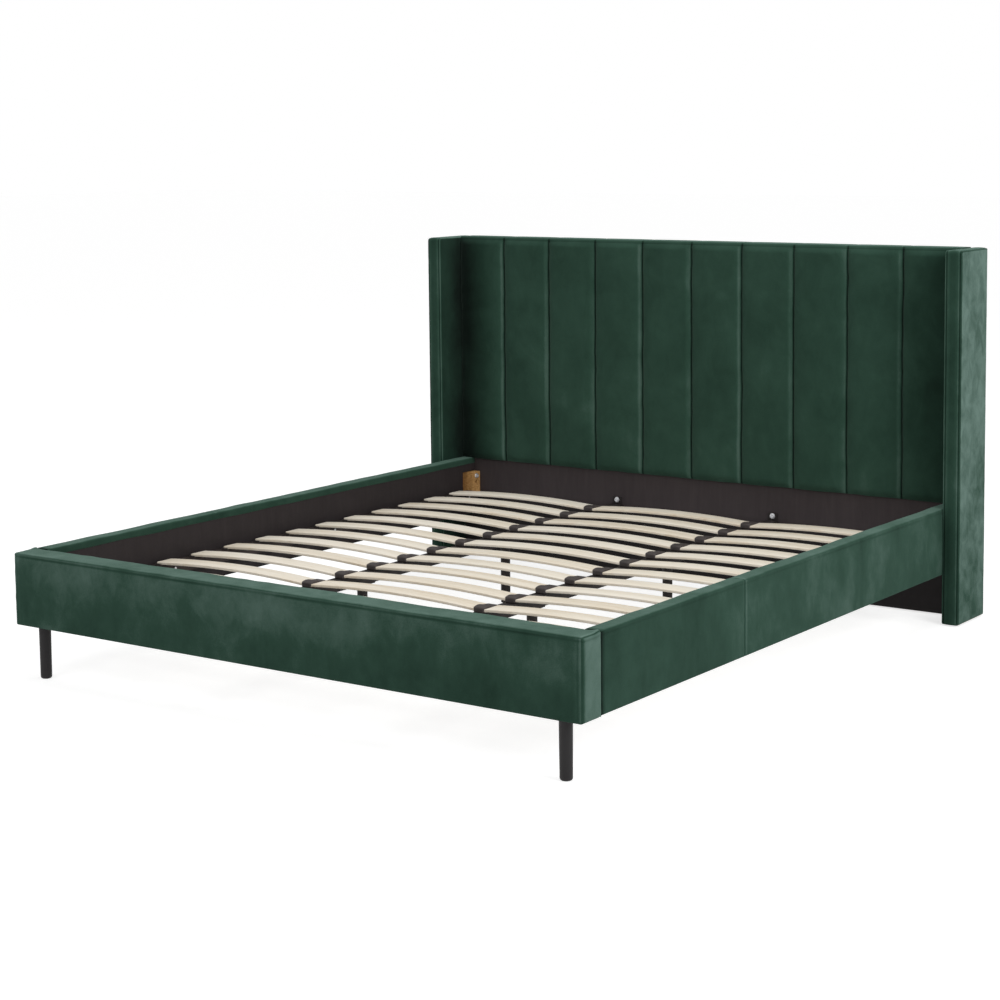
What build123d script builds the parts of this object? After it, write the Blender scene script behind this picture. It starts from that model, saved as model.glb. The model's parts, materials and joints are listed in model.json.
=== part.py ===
"""A wing-back double bed, upholstered in velvet, as an assembly of separate pieces, in millimetres.

The bed stands on z = 0. The foot of the bed is towards -Y, the headboard towards +Y, and the
origin is on the floor under the middle of the whole bed. Left is -X and right is +X, as seen by
someone who stands at the foot and looks at the headboard.
"""

import os
from math import asin, degrees

from build123d import *

# The mattress that the bed is made for, and the play that it has in the well
mattress_width = 1800.0
mattress_length = 2000.0
mattress_side_play = 3.0
mattress_end_play = 23.0

# Heights above the floor
side_rail_bottom = 155.0
side_rail_height = 200.0
headboard_height = 1145.0
slat_seat_height = 243.0
glide_height = 4.0

# Side rails, from the inner face outwards
velvet_fold = 1.5
velvet_fold_drop = 23.0
side_lining = 4.5
side_batten_width = 20.0
side_batten_height = 30.0
side_lower_batten_share = 0.55
side_board = 12.0
side_pad = 8.0
side_pad_crown = 2.0
side_hem = 3.0
side_edge_radius = 11.0
side_hem_radius = 2.5
side_rail_foot_gap = 2.0
side_lining_notch = 73.0
side_lining_joint_share = 0.56
side_stud_count = 6
side_stud_length = 45.0

# Corner blocks of raw timber, which the side rails are bolted to
corner_block_length = 45.0
corner_block_height = 80.0
corner_block_protrusion = 22.0
corner_block_gap = 2.0
corner_block_top_gap = 5.0
corner_hole_spacing = 21.0
corner_hole_top_margin = 14.0
corner_spare_hole_radius = 6.5

# Footboard, from the front face backwards
foot_overhang = 4.0
foot_drop = 3.0
foot_pad = 10.0
foot_board = 12.0
foot_batten_depth = 50.0
foot_batten_height = 30.0
foot_lining = 9.0
foot_end_pad = 8.0
foot_top_pad = 8.0
foot_edge_radius = 12.0
foot_end_radius = 8.0
foot_hem = 3.0
foot_block_width = 60.0

# Headboard, from the front face backwards
channel_count = 10
channel_crown = 18.0
channel_web = 8.0
channel_trim = 2.0
head_board = 9.0
head_timber_depth = 54.0
head_timber_height = 45.0
head_back_lining = 3.0
head_top_pad = 8.0
head_top_radius = 22.0
head_pad_gap = 3.0
head_beam_share = 0.62

# Wings
wing_gap = 0.5
wing_thickness = 57.5
wing_depth = 196.0
wing_side_pad = 6.0
wing_front_pad = 10.0
wing_top_pad = 8.0
wing_back_hem = 3.0
wing_skin = 5.0
wing_post_depth = 35.0
wing_cross_height = 45.0
wing_cross_shares = (0.0, 0.5, 1.0)
wing_edge_radius = 5.0
wing_top_radius = 10.0

# Front legs
leg_inset = 75.0
leg_top_radius = 17.0
leg_foot_radius = 16.0
leg_edge_radius = 4.0
leg_plate_size = 70.0
leg_stud_radius = 4.0
leg_stud_in_leg = 40.0
leg_stud_in_batten = 22.0
leg_screw_radius = 2.5
leg_screw_head_radius = 4.5
leg_screw_head = 1.6
leg_screw_length = 18.0
leg_screw_inset = 10.0

# Slats, in three columns on two centre rails and two ledgers
slat_rows = 13
slat_head_gap = 154.0
slat_foot_gap = 154.0
slat_width = 65.0
slat_thickness = 8.0
slat_rise = 12.0
slat_edge_radius = 2.0
slat_end_play = 3.0
slat_end_gap = 20.0

# Double caps on the centre rails, and saddles on the ledgers
cap_width = 38.0
cap_wall = 2.5
cap_base = 3.0
cap_rim = 4.0
cap_edge_radius = 1.5
cap_pin_radius = 4.0
cap_pin_length = 7.0
saddle_reach = 20.0
saddle_lip = 4.0
saddle_wall = 2.0
holder_clearance = 0.3

# Ledgers along the side rails
ledger_width = 45.0
ledger_height = 30.0
ledger_screw_radius = 2.5
ledger_screw_head_radius = 4.5
ledger_screw_head = 2.0
ledger_screw_point_gap = 4.0

# Centre rails of box-section steel, and the legs under them
centre_rail_offset = 300.0
centre_rail_width = 40.0
centre_rail_height = 30.0
centre_rail_wall = 2.0
centre_leg_shares = (0.322, 0.674)
centre_leg_radius = 15.0
centre_leg_wall = 2.0
centre_leg_plate_length = 70.0
centre_leg_plate = 3.0
centre_leg_clear = 24.0
insert_length = 22.0
foot_stem_radius = 5.0
foot_stem_length = 60.0
foot_pad_radius = 14.0
foot_pad_height = 8.0
foot_pad_edge = 2.0
foot_nut_radius = 8.0
foot_nut_sides = 6
foot_stop_gap = 0.3
foot_stem_clearance = 0.1

# Brackets that hold the centre rails to the headboard and the footboard
bracket_plate = 3.0
bracket_width = 36.0
bracket_shelf_length = 60.0
bracket_above_seat = 25.0
bracket_bolt_above_seat = 15.0
bracket_edge_radius = 3.0

# Bolts, all of one thread size
bolt_radius = 4.0
bolt_clearance = 0.25
bolt_head_radius = 6.5
bolt_head_height = 5.0
bolt_washer_radius = 9.0
bolt_washer = 1.5
bolt_socket_radius = 3.0
bolt_socket_depth = 2.5
bolt_point_gap = 6.0
wing_bolt_in_post = 30.0

# Floor glides under the wings and the headboard
glide_radius = 12.0
glide_edge_radius = 1.0

# How far a cutting tool runs past what it cuts
overrun = 5.0

# Places across the bed, from the middle plane outwards
well_half = mattress_width / 2 + mattress_side_play
side_lining_inner = well_half + velvet_fold
side_batten_inner = side_lining_inner + side_lining
side_board_inner = side_batten_inner + side_batten_width
side_pad_inner = side_board_inner + side_board
side_rail_outer = side_pad_inner + side_pad
foot_half = side_rail_outer + foot_overhang
wing_inner = side_rail_outer + wing_gap
wing_outer = wing_inner + wing_thickness
head_half = side_rail_outer
ledger_inner = side_lining_inner - ledger_width
block_inner = side_lining_inner - corner_block_protrusion

# Places along the bed, from the foot to the back of the headboard
foot_depth = foot_pad + foot_board + foot_batten_depth + foot_lining
head_pad_depth = channel_crown + channel_web
head_depth = head_pad_depth + head_board + head_timber_depth + head_back_lining
overall_length = foot_depth + mattress_length + mattress_end_play + head_depth
foot_front = -overall_length / 2
foot_board_front = foot_front + foot_pad
foot_batten_front = foot_board_front + foot_board
foot_lining_front = foot_batten_front + foot_batten_depth
foot_back = foot_lining_front + foot_lining
head_back = overall_length / 2
head_lining_front = head_back - head_back_lining
head_timber_front = head_lining_front - head_timber_depth
head_board_front = head_timber_front - head_board
head_seam = head_board_front - channel_web
wing_front = head_back - wing_depth
side_rail_front = foot_back + side_rail_foot_gap
side_rail_back = head_board_front
side_rail_length = side_rail_back - side_rail_front

# Heights
side_rail_top = side_rail_bottom + side_rail_height
side_core_bottom = side_rail_bottom + side_hem
side_core_top = side_rail_top - side_edge_radius
foot_bottom = side_rail_bottom - foot_drop
foot_core_bottom = foot_bottom + foot_hem
foot_core_top = side_rail_top - foot_top_pad
head_core_top = headboard_height - head_top_pad
wing_core_top = headboard_height - wing_top_pad
pad_bottom = side_rail_top + head_pad_gap
block_top = side_core_top - side_batten_height - corner_block_top_gap
ledger_bottom = slat_seat_height - ledger_height
side_lower_batten_height = (ledger_bottom - side_core_bottom) * side_lower_batten_share
block_bottom = block_top - corner_block_height
centre_rail_bottom = slat_seat_height - centre_rail_height
bracket_bolt_height = slat_seat_height + bracket_bolt_above_seat
corner_bolt_height = block_top - corner_hole_top_margin

# Slats and their holders
slat_bottom = slat_seat_height + cap_base
slat_first_row = head_board_front - slat_head_gap
slat_last_row = foot_back + slat_foot_gap
slat_pitch = (slat_first_row - slat_last_row) / (slat_rows - 1)
slat_row_places = [slat_first_row - row * slat_pitch for row in range(slat_rows)]
slat_middle_half = centre_rail_offset - slat_end_play
slat_side_inner = centre_rail_offset + slat_end_play
slat_side_outer = side_lining_inner - slat_end_gap
bolt_hole_radius = bolt_radius + bolt_clearance


def block(x0, x1, y0, y1, z0, z1):
    """A plain block between two corners."""
    place = Pos((x0 + x1) / 2, (y0 + y1) / 2, (z0 + z1) / 2)
    return place * Box(x1 - x0, y1 - y0, z1 - z0)


def rod(start, direction, radius, length):
    """A round rod from a start point along a direction."""
    return extrude(Plane(start, z_dir=direction) * Circle(radius), length)


def drill(body, start, direction, radius, length):
    """A body with a round hole that starts a little before the start point."""
    mouth = Vector(*start) - Vector(*direction) * overrun
    return body - rod(tuple(mouth), direction, radius, length + overrun)


def to_left(body):
    """The same piece on the other side of the bed."""
    return mirror(body, about=Plane.YZ)


def both_sides(body):
    """A piece of the right side with its twin on the left."""
    return [body, to_left(body)]


def save(name, pieces):
    """Write one node, from one piece or a list of separate pieces."""
    solids = pieces if isinstance(pieces, list) else [pieces]
    kept = [solid for piece in solids for solid in piece.solids()]
    shape = kept[0] if len(kept) == 1 else Compound(children=kept)
    shape.label = name
    export_step(shape, os.path.join("parts", name + ".step"))


def bolt(start, direction, length):
    """A socket-head bolt with its washer: start is the face that the washer sits on."""
    axis = Vector(*direction)
    back = tuple(Vector(*start) - axis * (bolt_washer + bolt_head_height))
    washer_back = tuple(Vector(*start) - axis * bolt_washer)
    body = rod(start, direction, bolt_radius, length)
    body += rod(washer_back, direction, bolt_washer_radius, bolt_washer)
    body += rod(back, direction, bolt_head_radius, bolt_head_height)
    return body - rod(back, direction, bolt_socket_radius, bolt_socket_depth)


# Front legs and what holds them

leg_x = foot_half - leg_inset
leg_y = (foot_front + foot_back) / 2
leg_stud_top = foot_core_bottom + leg_stud_in_batten
leg_screw_span = leg_plate_size / 2 - leg_screw_inset


def leg_screw_places():
    """The two screws of a leg plate, on the line of the batten."""
    return [(leg_x + side * leg_screw_span, leg_y) for side in (-1, 1)]


def leg():
    """A slightly tapered round leg with a rounded foot."""
    height = foot_bottom
    shape = loft([Circle(leg_foot_radius), Pos(0, 0, height) * Circle(leg_top_radius)])
    shape = fillet(shape.edges().group_by(Axis.Z)[0], leg_edge_radius)
    shape = Pos(leg_x, leg_y, 0) * shape
    start = (leg_x, leg_y, height - leg_stud_in_leg)
    return shape - rod(start, (0, 0, 1), leg_stud_radius, leg_stud_in_leg + overrun)


def leg_stud():
    """The threaded stud between a leg and the footboard's batten."""
    start = (leg_x, leg_y, foot_bottom - leg_stud_in_leg)
    return rod(start, (0, 0, 1), leg_stud_radius, leg_stud_top - start[2])


def leg_plate_body(grow=0.0):
    """A leg's square plate, grown by a play for the cut that it lies in."""
    size = leg_plate_size / 2 + grow
    deep = foot_batten_depth / 2 + grow
    return block(
        leg_x - size, leg_x + size, leg_y - deep, leg_y + deep, foot_bottom, foot_core_bottom
    )


def leg_plate():
    """The plate with its stud hole and countersunk screw holes."""
    plate = leg_plate_body()
    plate = drill(plate, (leg_x, leg_y, foot_bottom), (0, 0, 1), leg_stud_radius, foot_hem + overrun)
    for x, y in leg_screw_places():
        plate = drill(plate, (x, y, foot_bottom), (0, 0, 1), leg_screw_radius, foot_hem + overrun)
        plate = drill(
            plate, (x, y, foot_bottom), (0, 0, 1), leg_screw_head_radius, leg_screw_head
        )
    return plate


def leg_screws():
    """Flat-headed screws of one leg plate."""
    screws = []
    for x, y in leg_screw_places():
        head = rod((x, y, foot_bottom), (0, 0, 1), leg_screw_head_radius, leg_screw_head)
        shank = rod((x, y, foot_bottom), (0, 0, 1), leg_screw_radius, leg_screw_length)
        screws.append(head + shank)
    return screws


def cut_leg_holes(body):
    """Holes for both legs' studs and screws in a piece above the plates."""
    for side in (-1, 1):
        start = (side * leg_x, leg_y, foot_core_bottom)
        body = drill(body, start, (0, 0, 1), leg_stud_radius, leg_stud_in_batten)
        for x, y in leg_screw_places():
            start = (side * x, y, foot_core_bottom)
            length = leg_screw_length - foot_hem
            body = drill(body, start, (0, 0, 1), leg_screw_radius, length)
    return body


# Footboard

foot_core_half = foot_half - foot_end_pad
foot_inner_batten_top = foot_core_top - foot_batten_height
foot_inner_batten_bottom = foot_core_bottom + foot_batten_height
foot_bolt_length = foot_lining + foot_batten_depth - bolt_point_gap


def foot_cover():
    """The padded velvet shell round the footboard, with a fold down its inner face."""
    cover = block(-foot_half, foot_half, foot_front, foot_back, foot_bottom, side_rail_top)
    ends = cover.edges().filter_by(Axis.Z).group_by(Axis.Y)[0]
    cover = fillet(ends, foot_end_radius)
    cover = fillet(cover.edges().group_by(Axis.Z)[-1].group_by(Axis.Y)[0:-1], foot_edge_radius)
    hollow = block(
        -foot_core_half,
        foot_core_half,
        foot_board_front,
        foot_back + overrun,
        foot_core_bottom,
        foot_core_top,
    )
    cover -= hollow
    for side in (-1, 1):
        plate = leg_plate_body(holder_clearance)
        cover -= plate if side > 0 else to_left(plate)
    fold_bottom = side_rail_top - velvet_fold_drop
    fold = block(
        -well_half, well_half, foot_back, foot_back + velvet_fold, fold_bottom, foot_core_top
    )
    lip_top = side_rail_top - velvet_fold
    lip = block(
        -well_half, well_half, foot_back, foot_back + velvet_fold, foot_core_top, lip_top
    )
    return cover + fold + lip


def foot_front_board():
    """The board behind the footboard's padding."""
    return block(
        -foot_core_half,
        foot_core_half,
        foot_board_front,
        foot_batten_front,
        foot_core_bottom,
        foot_core_top,
    )


def foot_battens():
    """The two long timbers of the footboard."""
    top = block(
        -foot_core_half,
        foot_core_half,
        foot_batten_front,
        foot_lining_front,
        foot_inner_batten_top,
        foot_core_top,
    )
    bottom = block(
        -foot_core_half,
        foot_core_half,
        foot_batten_front,
        foot_lining_front,
        foot_core_bottom,
        foot_inner_batten_bottom,
    )
    return [top, cut_leg_holes(bottom)]


def foot_blocks():
    """Short timbers between the footboard's battens, at its ends and behind the rail brackets."""
    half = foot_block_width / 2
    places = [foot_core_half - half, centre_rail_offset]
    blocks = []
    for place in places:
        piece = block(
            place - half,
            place + half,
            foot_batten_front,
            foot_lining_front,
            foot_inner_batten_bottom,
            foot_inner_batten_top,
        )
        if place == centre_rail_offset:
            start = (place, foot_lining_front, bracket_bolt_height)
            length = foot_bolt_length - foot_lining
            piece = drill(piece, start, (0, -1, 0), bolt_hole_radius, length)
        blocks += both_sides(piece)
    return blocks


def foot_inner_lining():
    """The dark board on the footboard's inner face."""
    board = block(
        -foot_core_half, foot_core_half, foot_lining_front, foot_back, foot_core_bottom, foot_core_top
    )
    for side in (-1, 1):
        start = (side * centre_rail_offset, foot_back, bracket_bolt_height)
        board = drill(board, start, (0, -1, 0), bolt_hole_radius, foot_lining + overrun)
    return board


# Side rails, made for the right side and mirrored for the left

block_front_foot = foot_back
block_front_head = head_board_front - corner_block_length
notch_front = foot_back + side_lining_notch
notch_back = head_board_front - side_lining_notch
lining_joint = notch_front + (notch_back - notch_front) * side_lining_joint_share
stud_bottom = side_core_bottom + side_lower_batten_height
stud_top = side_core_top - side_batten_height
corner_bolt_length = side_pad_inner - block_inner - bolt_point_gap / 2
stud_span = notch_back - notch_front - side_stud_length
stud_places = [
    notch_front + side_stud_length / 2 + stud_span * index / (side_stud_count - 1)
    for index in range(side_stud_count)
]
ledger_screw_height = ledger_bottom + ledger_height / 2
ledger_screw_length = ledger_width + side_lining + side_batten_width - ledger_screw_point_gap


def rail_cover_profile():
    """The closed outline of the velvet cover, seen along the rail."""
    bottom = side_rail_bottom
    top = side_rail_top
    outer = side_rail_outer - side_pad_crown
    middle = (bottom + top) / 2
    hem_end = side_batten_inner
    inner_outer = side_pad_inner
    fold_bottom = top - velvet_fold_drop
    high = side_core_top
    low = side_core_bottom
    edge = side_edge_radius
    hem_edge = side_hem_radius
    lines = [
        Line((hem_end, bottom), (outer - hem_edge, bottom)),
        RadiusArc((outer - hem_edge, bottom), (outer, bottom + hem_edge), -hem_edge),
        ThreePointArc(
            (outer, bottom + hem_edge), (side_rail_outer, middle), (outer, top - edge)
        ),
        RadiusArc((outer, top - edge), (outer - edge, top), -edge),
        Line((outer - edge, top), (well_half + edge, top)),
        RadiusArc((well_half + edge, top), (well_half, top - edge), -edge),
        Line((well_half, top - edge), (well_half, fold_bottom)),
        Line((well_half, fold_bottom), (side_lining_inner, fold_bottom)),
        Line((side_lining_inner, fold_bottom), (side_lining_inner, high)),
        Line((side_lining_inner, high), (inner_outer, high)),
        Line((inner_outer, high), (inner_outer, low)),
        Line((inner_outer, low), (hem_end, low)),
        Line((hem_end, low), (hem_end, bottom)),
    ]
    return make_face(Plane.XZ * Curve(lines))


def side_cover():
    """The padded velvet cover of a side rail."""
    face = rail_cover_profile()
    return Pos(0, side_rail_back, 0) * extrude(face, side_rail_length)


def side_outer_board():
    """The board behind the side rail's padding, drilled for the corner bolts."""
    board = block(
        side_board_inner,
        side_pad_inner,
        side_rail_front,
        side_rail_back,
        side_core_bottom,
        side_core_top,
    )
    for y in corner_bolt_places():
        start = (side_board_inner, y, corner_bolt_height)
        length = corner_bolt_length - (side_board_inner - block_inner)
        board = drill(board, start, (1, 0, 0), bolt_hole_radius, length)
    return board


def side_battens():
    """The two long timbers inside a side rail."""
    pieces = []
    lower = (side_core_bottom, side_core_bottom + side_lower_batten_height)
    upper = (side_core_top - side_batten_height, side_core_top)
    for low, high in (lower, upper):
        pieces.append(
            block(side_batten_inner, side_board_inner, side_rail_front, side_rail_back, low, high)
        )
    return pieces


def side_studs():
    """Short uprights between the battens, which the ledger is screwed to."""
    pieces = []
    for y in stud_places:
        half = side_stud_length / 2
        piece = block(
            side_batten_inner, side_board_inner, y - half, y + half, stud_bottom, stud_top
        )
        start = (side_batten_inner, y, ledger_screw_height)
        length = side_batten_width - ledger_screw_point_gap
        pieces.append(drill(piece, start, (1, 0, 0), ledger_screw_radius, length))
    return pieces


def side_inner_lining(start, end):
    """One length of the dark inner board, drilled for screws and cut out round the corner blocks."""
    board = block(side_lining_inner, side_batten_inner, start, end, side_core_bottom, side_core_top)
    for y in stud_places:
        if start < y < end:
            mouth = (side_lining_inner, y, ledger_screw_height)
            board = drill(board, mouth, (1, 0, 0), ledger_screw_radius, side_lining + overrun)
    low, high = block_bottom - corner_block_gap, block_top + corner_block_gap
    inner, outer = side_lining_inner - overrun, side_batten_inner + overrun
    board -= block(inner, outer, side_rail_front - overrun, notch_front, low, high)
    board -= block(inner, outer, notch_back, side_rail_back + overrun, low, high)
    return board


def ledger():
    """The batten that carries the outer ends of the slats."""
    piece = block(
        ledger_inner,
        side_lining_inner,
        block_front_foot + corner_block_length,
        block_front_head,
        ledger_bottom,
        slat_seat_height,
    )
    for y in stud_places:
        start = (ledger_inner, y, ledger_screw_height)
        piece = drill(piece, start, (1, 0, 0), ledger_screw_radius, ledger_width + overrun)
        piece = drill(piece, start, (1, 0, 0), ledger_screw_head_radius, ledger_screw_head)
    for y in slat_row_places:
        start = (saddle_pin_x, y, slat_seat_height)
        piece = drill(piece, start, (0, 0, -1), saddle_pin_radius, cap_pin_length)
    return piece


def ledger_screws():
    """The countersunk screws of one ledger."""
    screws = []
    for y in stud_places:
        start = (ledger_inner, y, ledger_screw_height)
        head = rod(start, (1, 0, 0), ledger_screw_head_radius, ledger_screw_head)
        shank = rod(start, (1, 0, 0), ledger_screw_radius, ledger_screw_length)
        screws.append(head + shank)
    return screws


def corner_bolt_places():
    """Where the corner bolts lie along the bed, at the foot and at the head."""
    half = corner_block_length / 2
    return [block_front_foot + half, block_front_head + half]


def corner_block(start):
    """A block of raw timber with two bolt holes, of which the upper one is in use."""
    piece = block(
        block_inner, side_board_inner, start, start + corner_block_length, block_bottom, block_top
    )
    y = start + corner_block_length / 2
    spare_height = corner_bolt_height - corner_hole_spacing
    length = side_board_inner - block_inner + overrun
    for height, radius in (
        (corner_bolt_height, bolt_hole_radius),
        (spare_height, corner_spare_hole_radius),
    ):
        piece = drill(piece, (block_inner, y, height), (1, 0, 0), radius, length)
    return piece


def corner_bolts():
    """The bolts that hold one side rail to its two corner blocks."""
    face = block_inner
    return [
        bolt((face, y, corner_bolt_height), (1, 0, 0), corner_bolt_length)
        for y in corner_bolt_places()
    ]


# Headboard

head_beam_bottom = bracket_bolt_height - head_timber_height / 2
head_middle_beam_bottom = glide_height + (head_core_top - glide_height) * head_beam_share
head_bolt_length = head_board + head_timber_depth - bolt_point_gap
head_top_beam_bottom = head_core_top - head_timber_height
wing_bolt_low = (glide_height + head_timber_height + head_beam_bottom) / 2
wing_bolt_middle = (head_beam_bottom + head_timber_height + head_middle_beam_bottom) / 2
wing_bolt_high = (head_middle_beam_bottom + head_timber_height + head_top_beam_bottom) / 2
wing_bolt_heights = [wing_bolt_low, wing_bolt_middle, wing_bolt_high]
wing_bolt_y = head_lining_front - wing_post_depth / 2
wing_bolt_start = head_half - head_timber_height
wing_bolt_length = wing_inner + wing_side_pad + wing_skin + wing_bolt_in_post - wing_bolt_start


def head_timbers():
    """Heights of the lower faces of the headboard's four cross beams."""
    return {
        "bottom": glide_height,
        "slat_level": head_beam_bottom,
        "middle": head_middle_beam_bottom,
        "top": head_top_beam_bottom,
    }


def head_stile():
    """An upright of the headboard's frame, drilled for the wing's bolts."""
    piece = block(
        head_half - head_timber_height,
        head_half,
        head_timber_front,
        head_lining_front,
        glide_height,
        head_core_top,
    )
    for height in wing_bolt_heights:
        start = (wing_bolt_start, wing_bolt_y, height)
        piece = drill(piece, start, (1, 0, 0), bolt_hole_radius, head_timber_height + overrun)
    return piece


def head_beam(name):
    """A cross beam of the headboard's frame."""
    low = head_timbers()[name]
    half = head_half - head_timber_height
    beam = block(
        -half, half, head_timber_front, head_lining_front, low, low + head_timber_height
    )
    if name == "slat_level":
        for side in (-1, 1):
            start = (side * centre_rail_offset, head_timber_front, bracket_bolt_height)
            length = head_bolt_length - head_board
            beam = drill(beam, start, (0, 1, 0), bolt_hole_radius, length)
    return beam


def head_upper_board():
    """The board that the channels are sewn and stapled on."""
    return block(
        -head_half, head_half, head_board_front, head_timber_front, pad_bottom, head_core_top
    )


def head_lower_board():
    """The dark board from the padding down to the floor."""
    board = block(
        -head_half, head_half, head_board_front, head_timber_front, glide_height, pad_bottom
    )
    for side in (-1, 1):
        start = (side * centre_rail_offset, head_board_front, bracket_bolt_height)
        board = drill(board, start, (0, 1, 0), bolt_hole_radius, head_board + overrun)
    return board


def head_lining():
    """The dark fabric-covered panel on the back."""
    return block(
        -head_half, head_half, head_lining_front, head_back, glide_height, head_core_top
    )


def channel_profile():
    """The outline of the ten sewn channels, seen from above."""
    pitch = 2 * head_half / channel_count
    lines = []
    for index in range(channel_count):
        left = -head_half + index * pitch
        right = left + pitch
        crest = head_seam - channel_crown
        lines.append(
            ThreePointArc((left, head_seam), ((left + right) / 2, crest), (right, head_seam))
        )
    lines.append(Line((head_half, head_seam), (head_half, head_back)))
    lines.append(Line((head_half, head_back), (-head_half, head_back)))
    lines.append(Line((-head_half, head_back), (-head_half, head_seam)))
    return make_face(Curve(lines))


def pad_side_profile():
    """The outline of the padding, seen from the side: it turns over the top edge."""
    crest = head_seam - channel_crown - channel_trim
    radius = head_top_radius
    top = headboard_height
    low = pad_bottom
    soft = channel_crown / 2
    lines = [
        Line((crest + soft, low), (head_board_front, low)),
        Line((head_board_front, low), (head_board_front, head_core_top)),
        Line((head_board_front, head_core_top), (head_back, head_core_top)),
        Line((head_back, head_core_top), (head_back, top)),
        Line((head_back, top), (crest + radius, top)),
        RadiusArc((crest + radius, top), (crest, top - radius), radius),
        Line((crest, top - radius), (crest, low + soft)),
        RadiusArc((crest, low + soft), (crest + soft, low), radius),
    ]
    return make_face(Plane.YZ * Curve(lines))


def channel_pad():
    """The velvet padding of the headboard, with its ten crowned upright channels."""
    channels = extrude(channel_profile(), headboard_height)
    side = Pos(-head_half - overrun, 0, 0) * extrude(
        pad_side_profile(), 2 * (head_half + overrun)
    )
    return channels & side


# Wings, made for the right side and mirrored for the left

wing_core_inner = wing_inner + wing_side_pad
wing_core_outer = wing_outer - wing_side_pad
wing_core_front = wing_front + wing_front_pad
wing_core_back = head_back - wing_back_hem
wing_post_inner = wing_core_inner + wing_skin
wing_post_outer = wing_core_outer - wing_skin


def drill_wing_bolts(body, x, length):
    """Holes for the wing's bolts in a piece that starts at x."""
    for height in wing_bolt_heights:
        start = (x, wing_bolt_y, height)
        body = drill(body, start, (1, 0, 0), bolt_hole_radius, length)
    return body


def wing_cover():
    """The padded velvet cover of a wing."""
    cover = block(wing_inner, wing_outer, wing_front, head_back, glide_height, headboard_height)
    uprights = cover.edges().filter_by(Axis.Z)
    top_front = cover.edges().filter_by(Axis.X).group_by(Axis.Z)[-1].sort_by(Axis.Y)[0]
    cover = fillet(top_front, wing_top_radius)
    uprights = cover.edges().filter_by(Axis.Z).group_by(Axis.Y)[0]
    cover = fillet(uprights, wing_edge_radius)
    hollow = block(
        wing_core_inner,
        wing_core_outer,
        wing_core_front,
        wing_core_back,
        glide_height - overrun,
        wing_core_top,
    )
    corner = hollow.edges().filter_by(Axis.X).group_by(Axis.Z)[-1].sort_by(Axis.Y)[0]
    hollow = fillet(corner, wing_top_radius - wing_top_pad)
    cover -= hollow
    return drill_wing_bolts(cover, wing_inner, wing_side_pad + overrun)


def wing_core_block(inner, outer):
    """A block of the wing's core, with the wing's rounded top corner."""
    shape = block(
        inner, outer, wing_core_front, wing_core_back, glide_height, wing_core_top
    )
    corner = shape.edges().filter_by(Axis.X).group_by(Axis.Z)[-1].sort_by(Axis.Y)[0]
    return fillet(corner, wing_top_radius - wing_top_pad)


def wing_skins():
    """The thin boards on both faces of a wing's frame."""
    inner = wing_core_block(wing_core_inner, wing_post_inner)
    inner = drill_wing_bolts(inner, wing_core_inner, wing_skin + overrun)
    outer = wing_core_block(wing_post_outer, wing_core_outer)
    return [inner, outer]


def wing_frame():
    """The two posts and three cross pieces inside a wing."""
    shape = wing_core_block(wing_post_inner, wing_post_outer)
    front_end = wing_core_front + wing_post_depth
    back_start = wing_core_back - wing_post_depth
    front = shape & block(
        wing_post_inner, wing_post_outer, wing_core_front, front_end, glide_height, wing_core_top
    )
    back = shape & block(
        wing_post_inner, wing_post_outer, back_start, wing_core_back, glide_height, wing_core_top
    )
    back = drill_wing_bolts(back, wing_post_inner, wing_bolt_in_post)
    pieces = [front, back]
    travel = wing_core_top - glide_height - wing_cross_height
    for share in wing_cross_shares:
        low = glide_height + travel * share
        pieces.append(
            block(
                wing_post_inner,
                wing_post_outer,
                front_end,
                back_start,
                low,
                low + wing_cross_height,
            )
        )
    return pieces


def wing_bolts():
    """The bolts between a headboard stile and its wing."""
    return [
        bolt((wing_bolt_start, wing_bolt_y, height), (1, 0, 0), wing_bolt_length)
        for height in wing_bolt_heights
    ]


def glide(x, y):
    """A round plastic glide."""
    shape = Cylinder(glide_radius, glide_height, align=(Align.CENTER, Align.CENTER, Align.MIN))
    shape = fillet(shape.edges().group_by(Axis.Z)[0], glide_edge_radius)
    return Pos(x, y, 0) * shape


def floor_glides():
    """Two glides under each wing and one under each stile."""
    wing_x = (wing_post_inner + wing_post_outer) / 2
    stile_x = head_half - head_timber_height / 2
    places = [
        (wing_x, wing_core_front + wing_post_depth / 2),
        (wing_x, wing_core_back - wing_post_depth / 2),
        (stile_x, (head_timber_front + head_lining_front) / 2),
    ]
    pieces = []
    for x, y in places:
        pieces += both_sides(glide(x, y))
    return pieces


# Slats and their holders

saddle_pin_radius = ledger_screw_radius
saddle_pin_x = ledger_inner + ledger_width / 2


def slat(x0, x1, y, grow=0.0):
    """A sprung slat, bowed upwards between its ends, grown by a clearance for a holder's cut."""
    half_chord = (x1 - x0) / 2
    radius = (half_chord**2 + slat_rise**2) / (2 * slat_rise)
    half_angle = degrees(asin(half_chord / radius) + grow / radius)
    middle = (x0 + x1) / 2
    axis = Axis((middle, y, slat_bottom + slat_rise - radius), (0, 1, 0))
    outline = RectangleRounded(
        slat_width + 2 * grow, slat_thickness + 2 * grow, slat_edge_radius + grow
    )
    crown = slat_bottom + slat_rise + slat_thickness / 2
    section = Plane((middle, y, crown), x_dir=(0, 1, 0), z_dir=(1, 0, 0)) * outline
    return revolve(section.rotate(axis, -half_angle), axis, 2 * half_angle)


def slat_column(x0, x1):
    """One column of slats, all alike."""
    first = slat(x0, x1, 0)
    return [Pos(0, y, 0) * first for y in slat_row_places]


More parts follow.
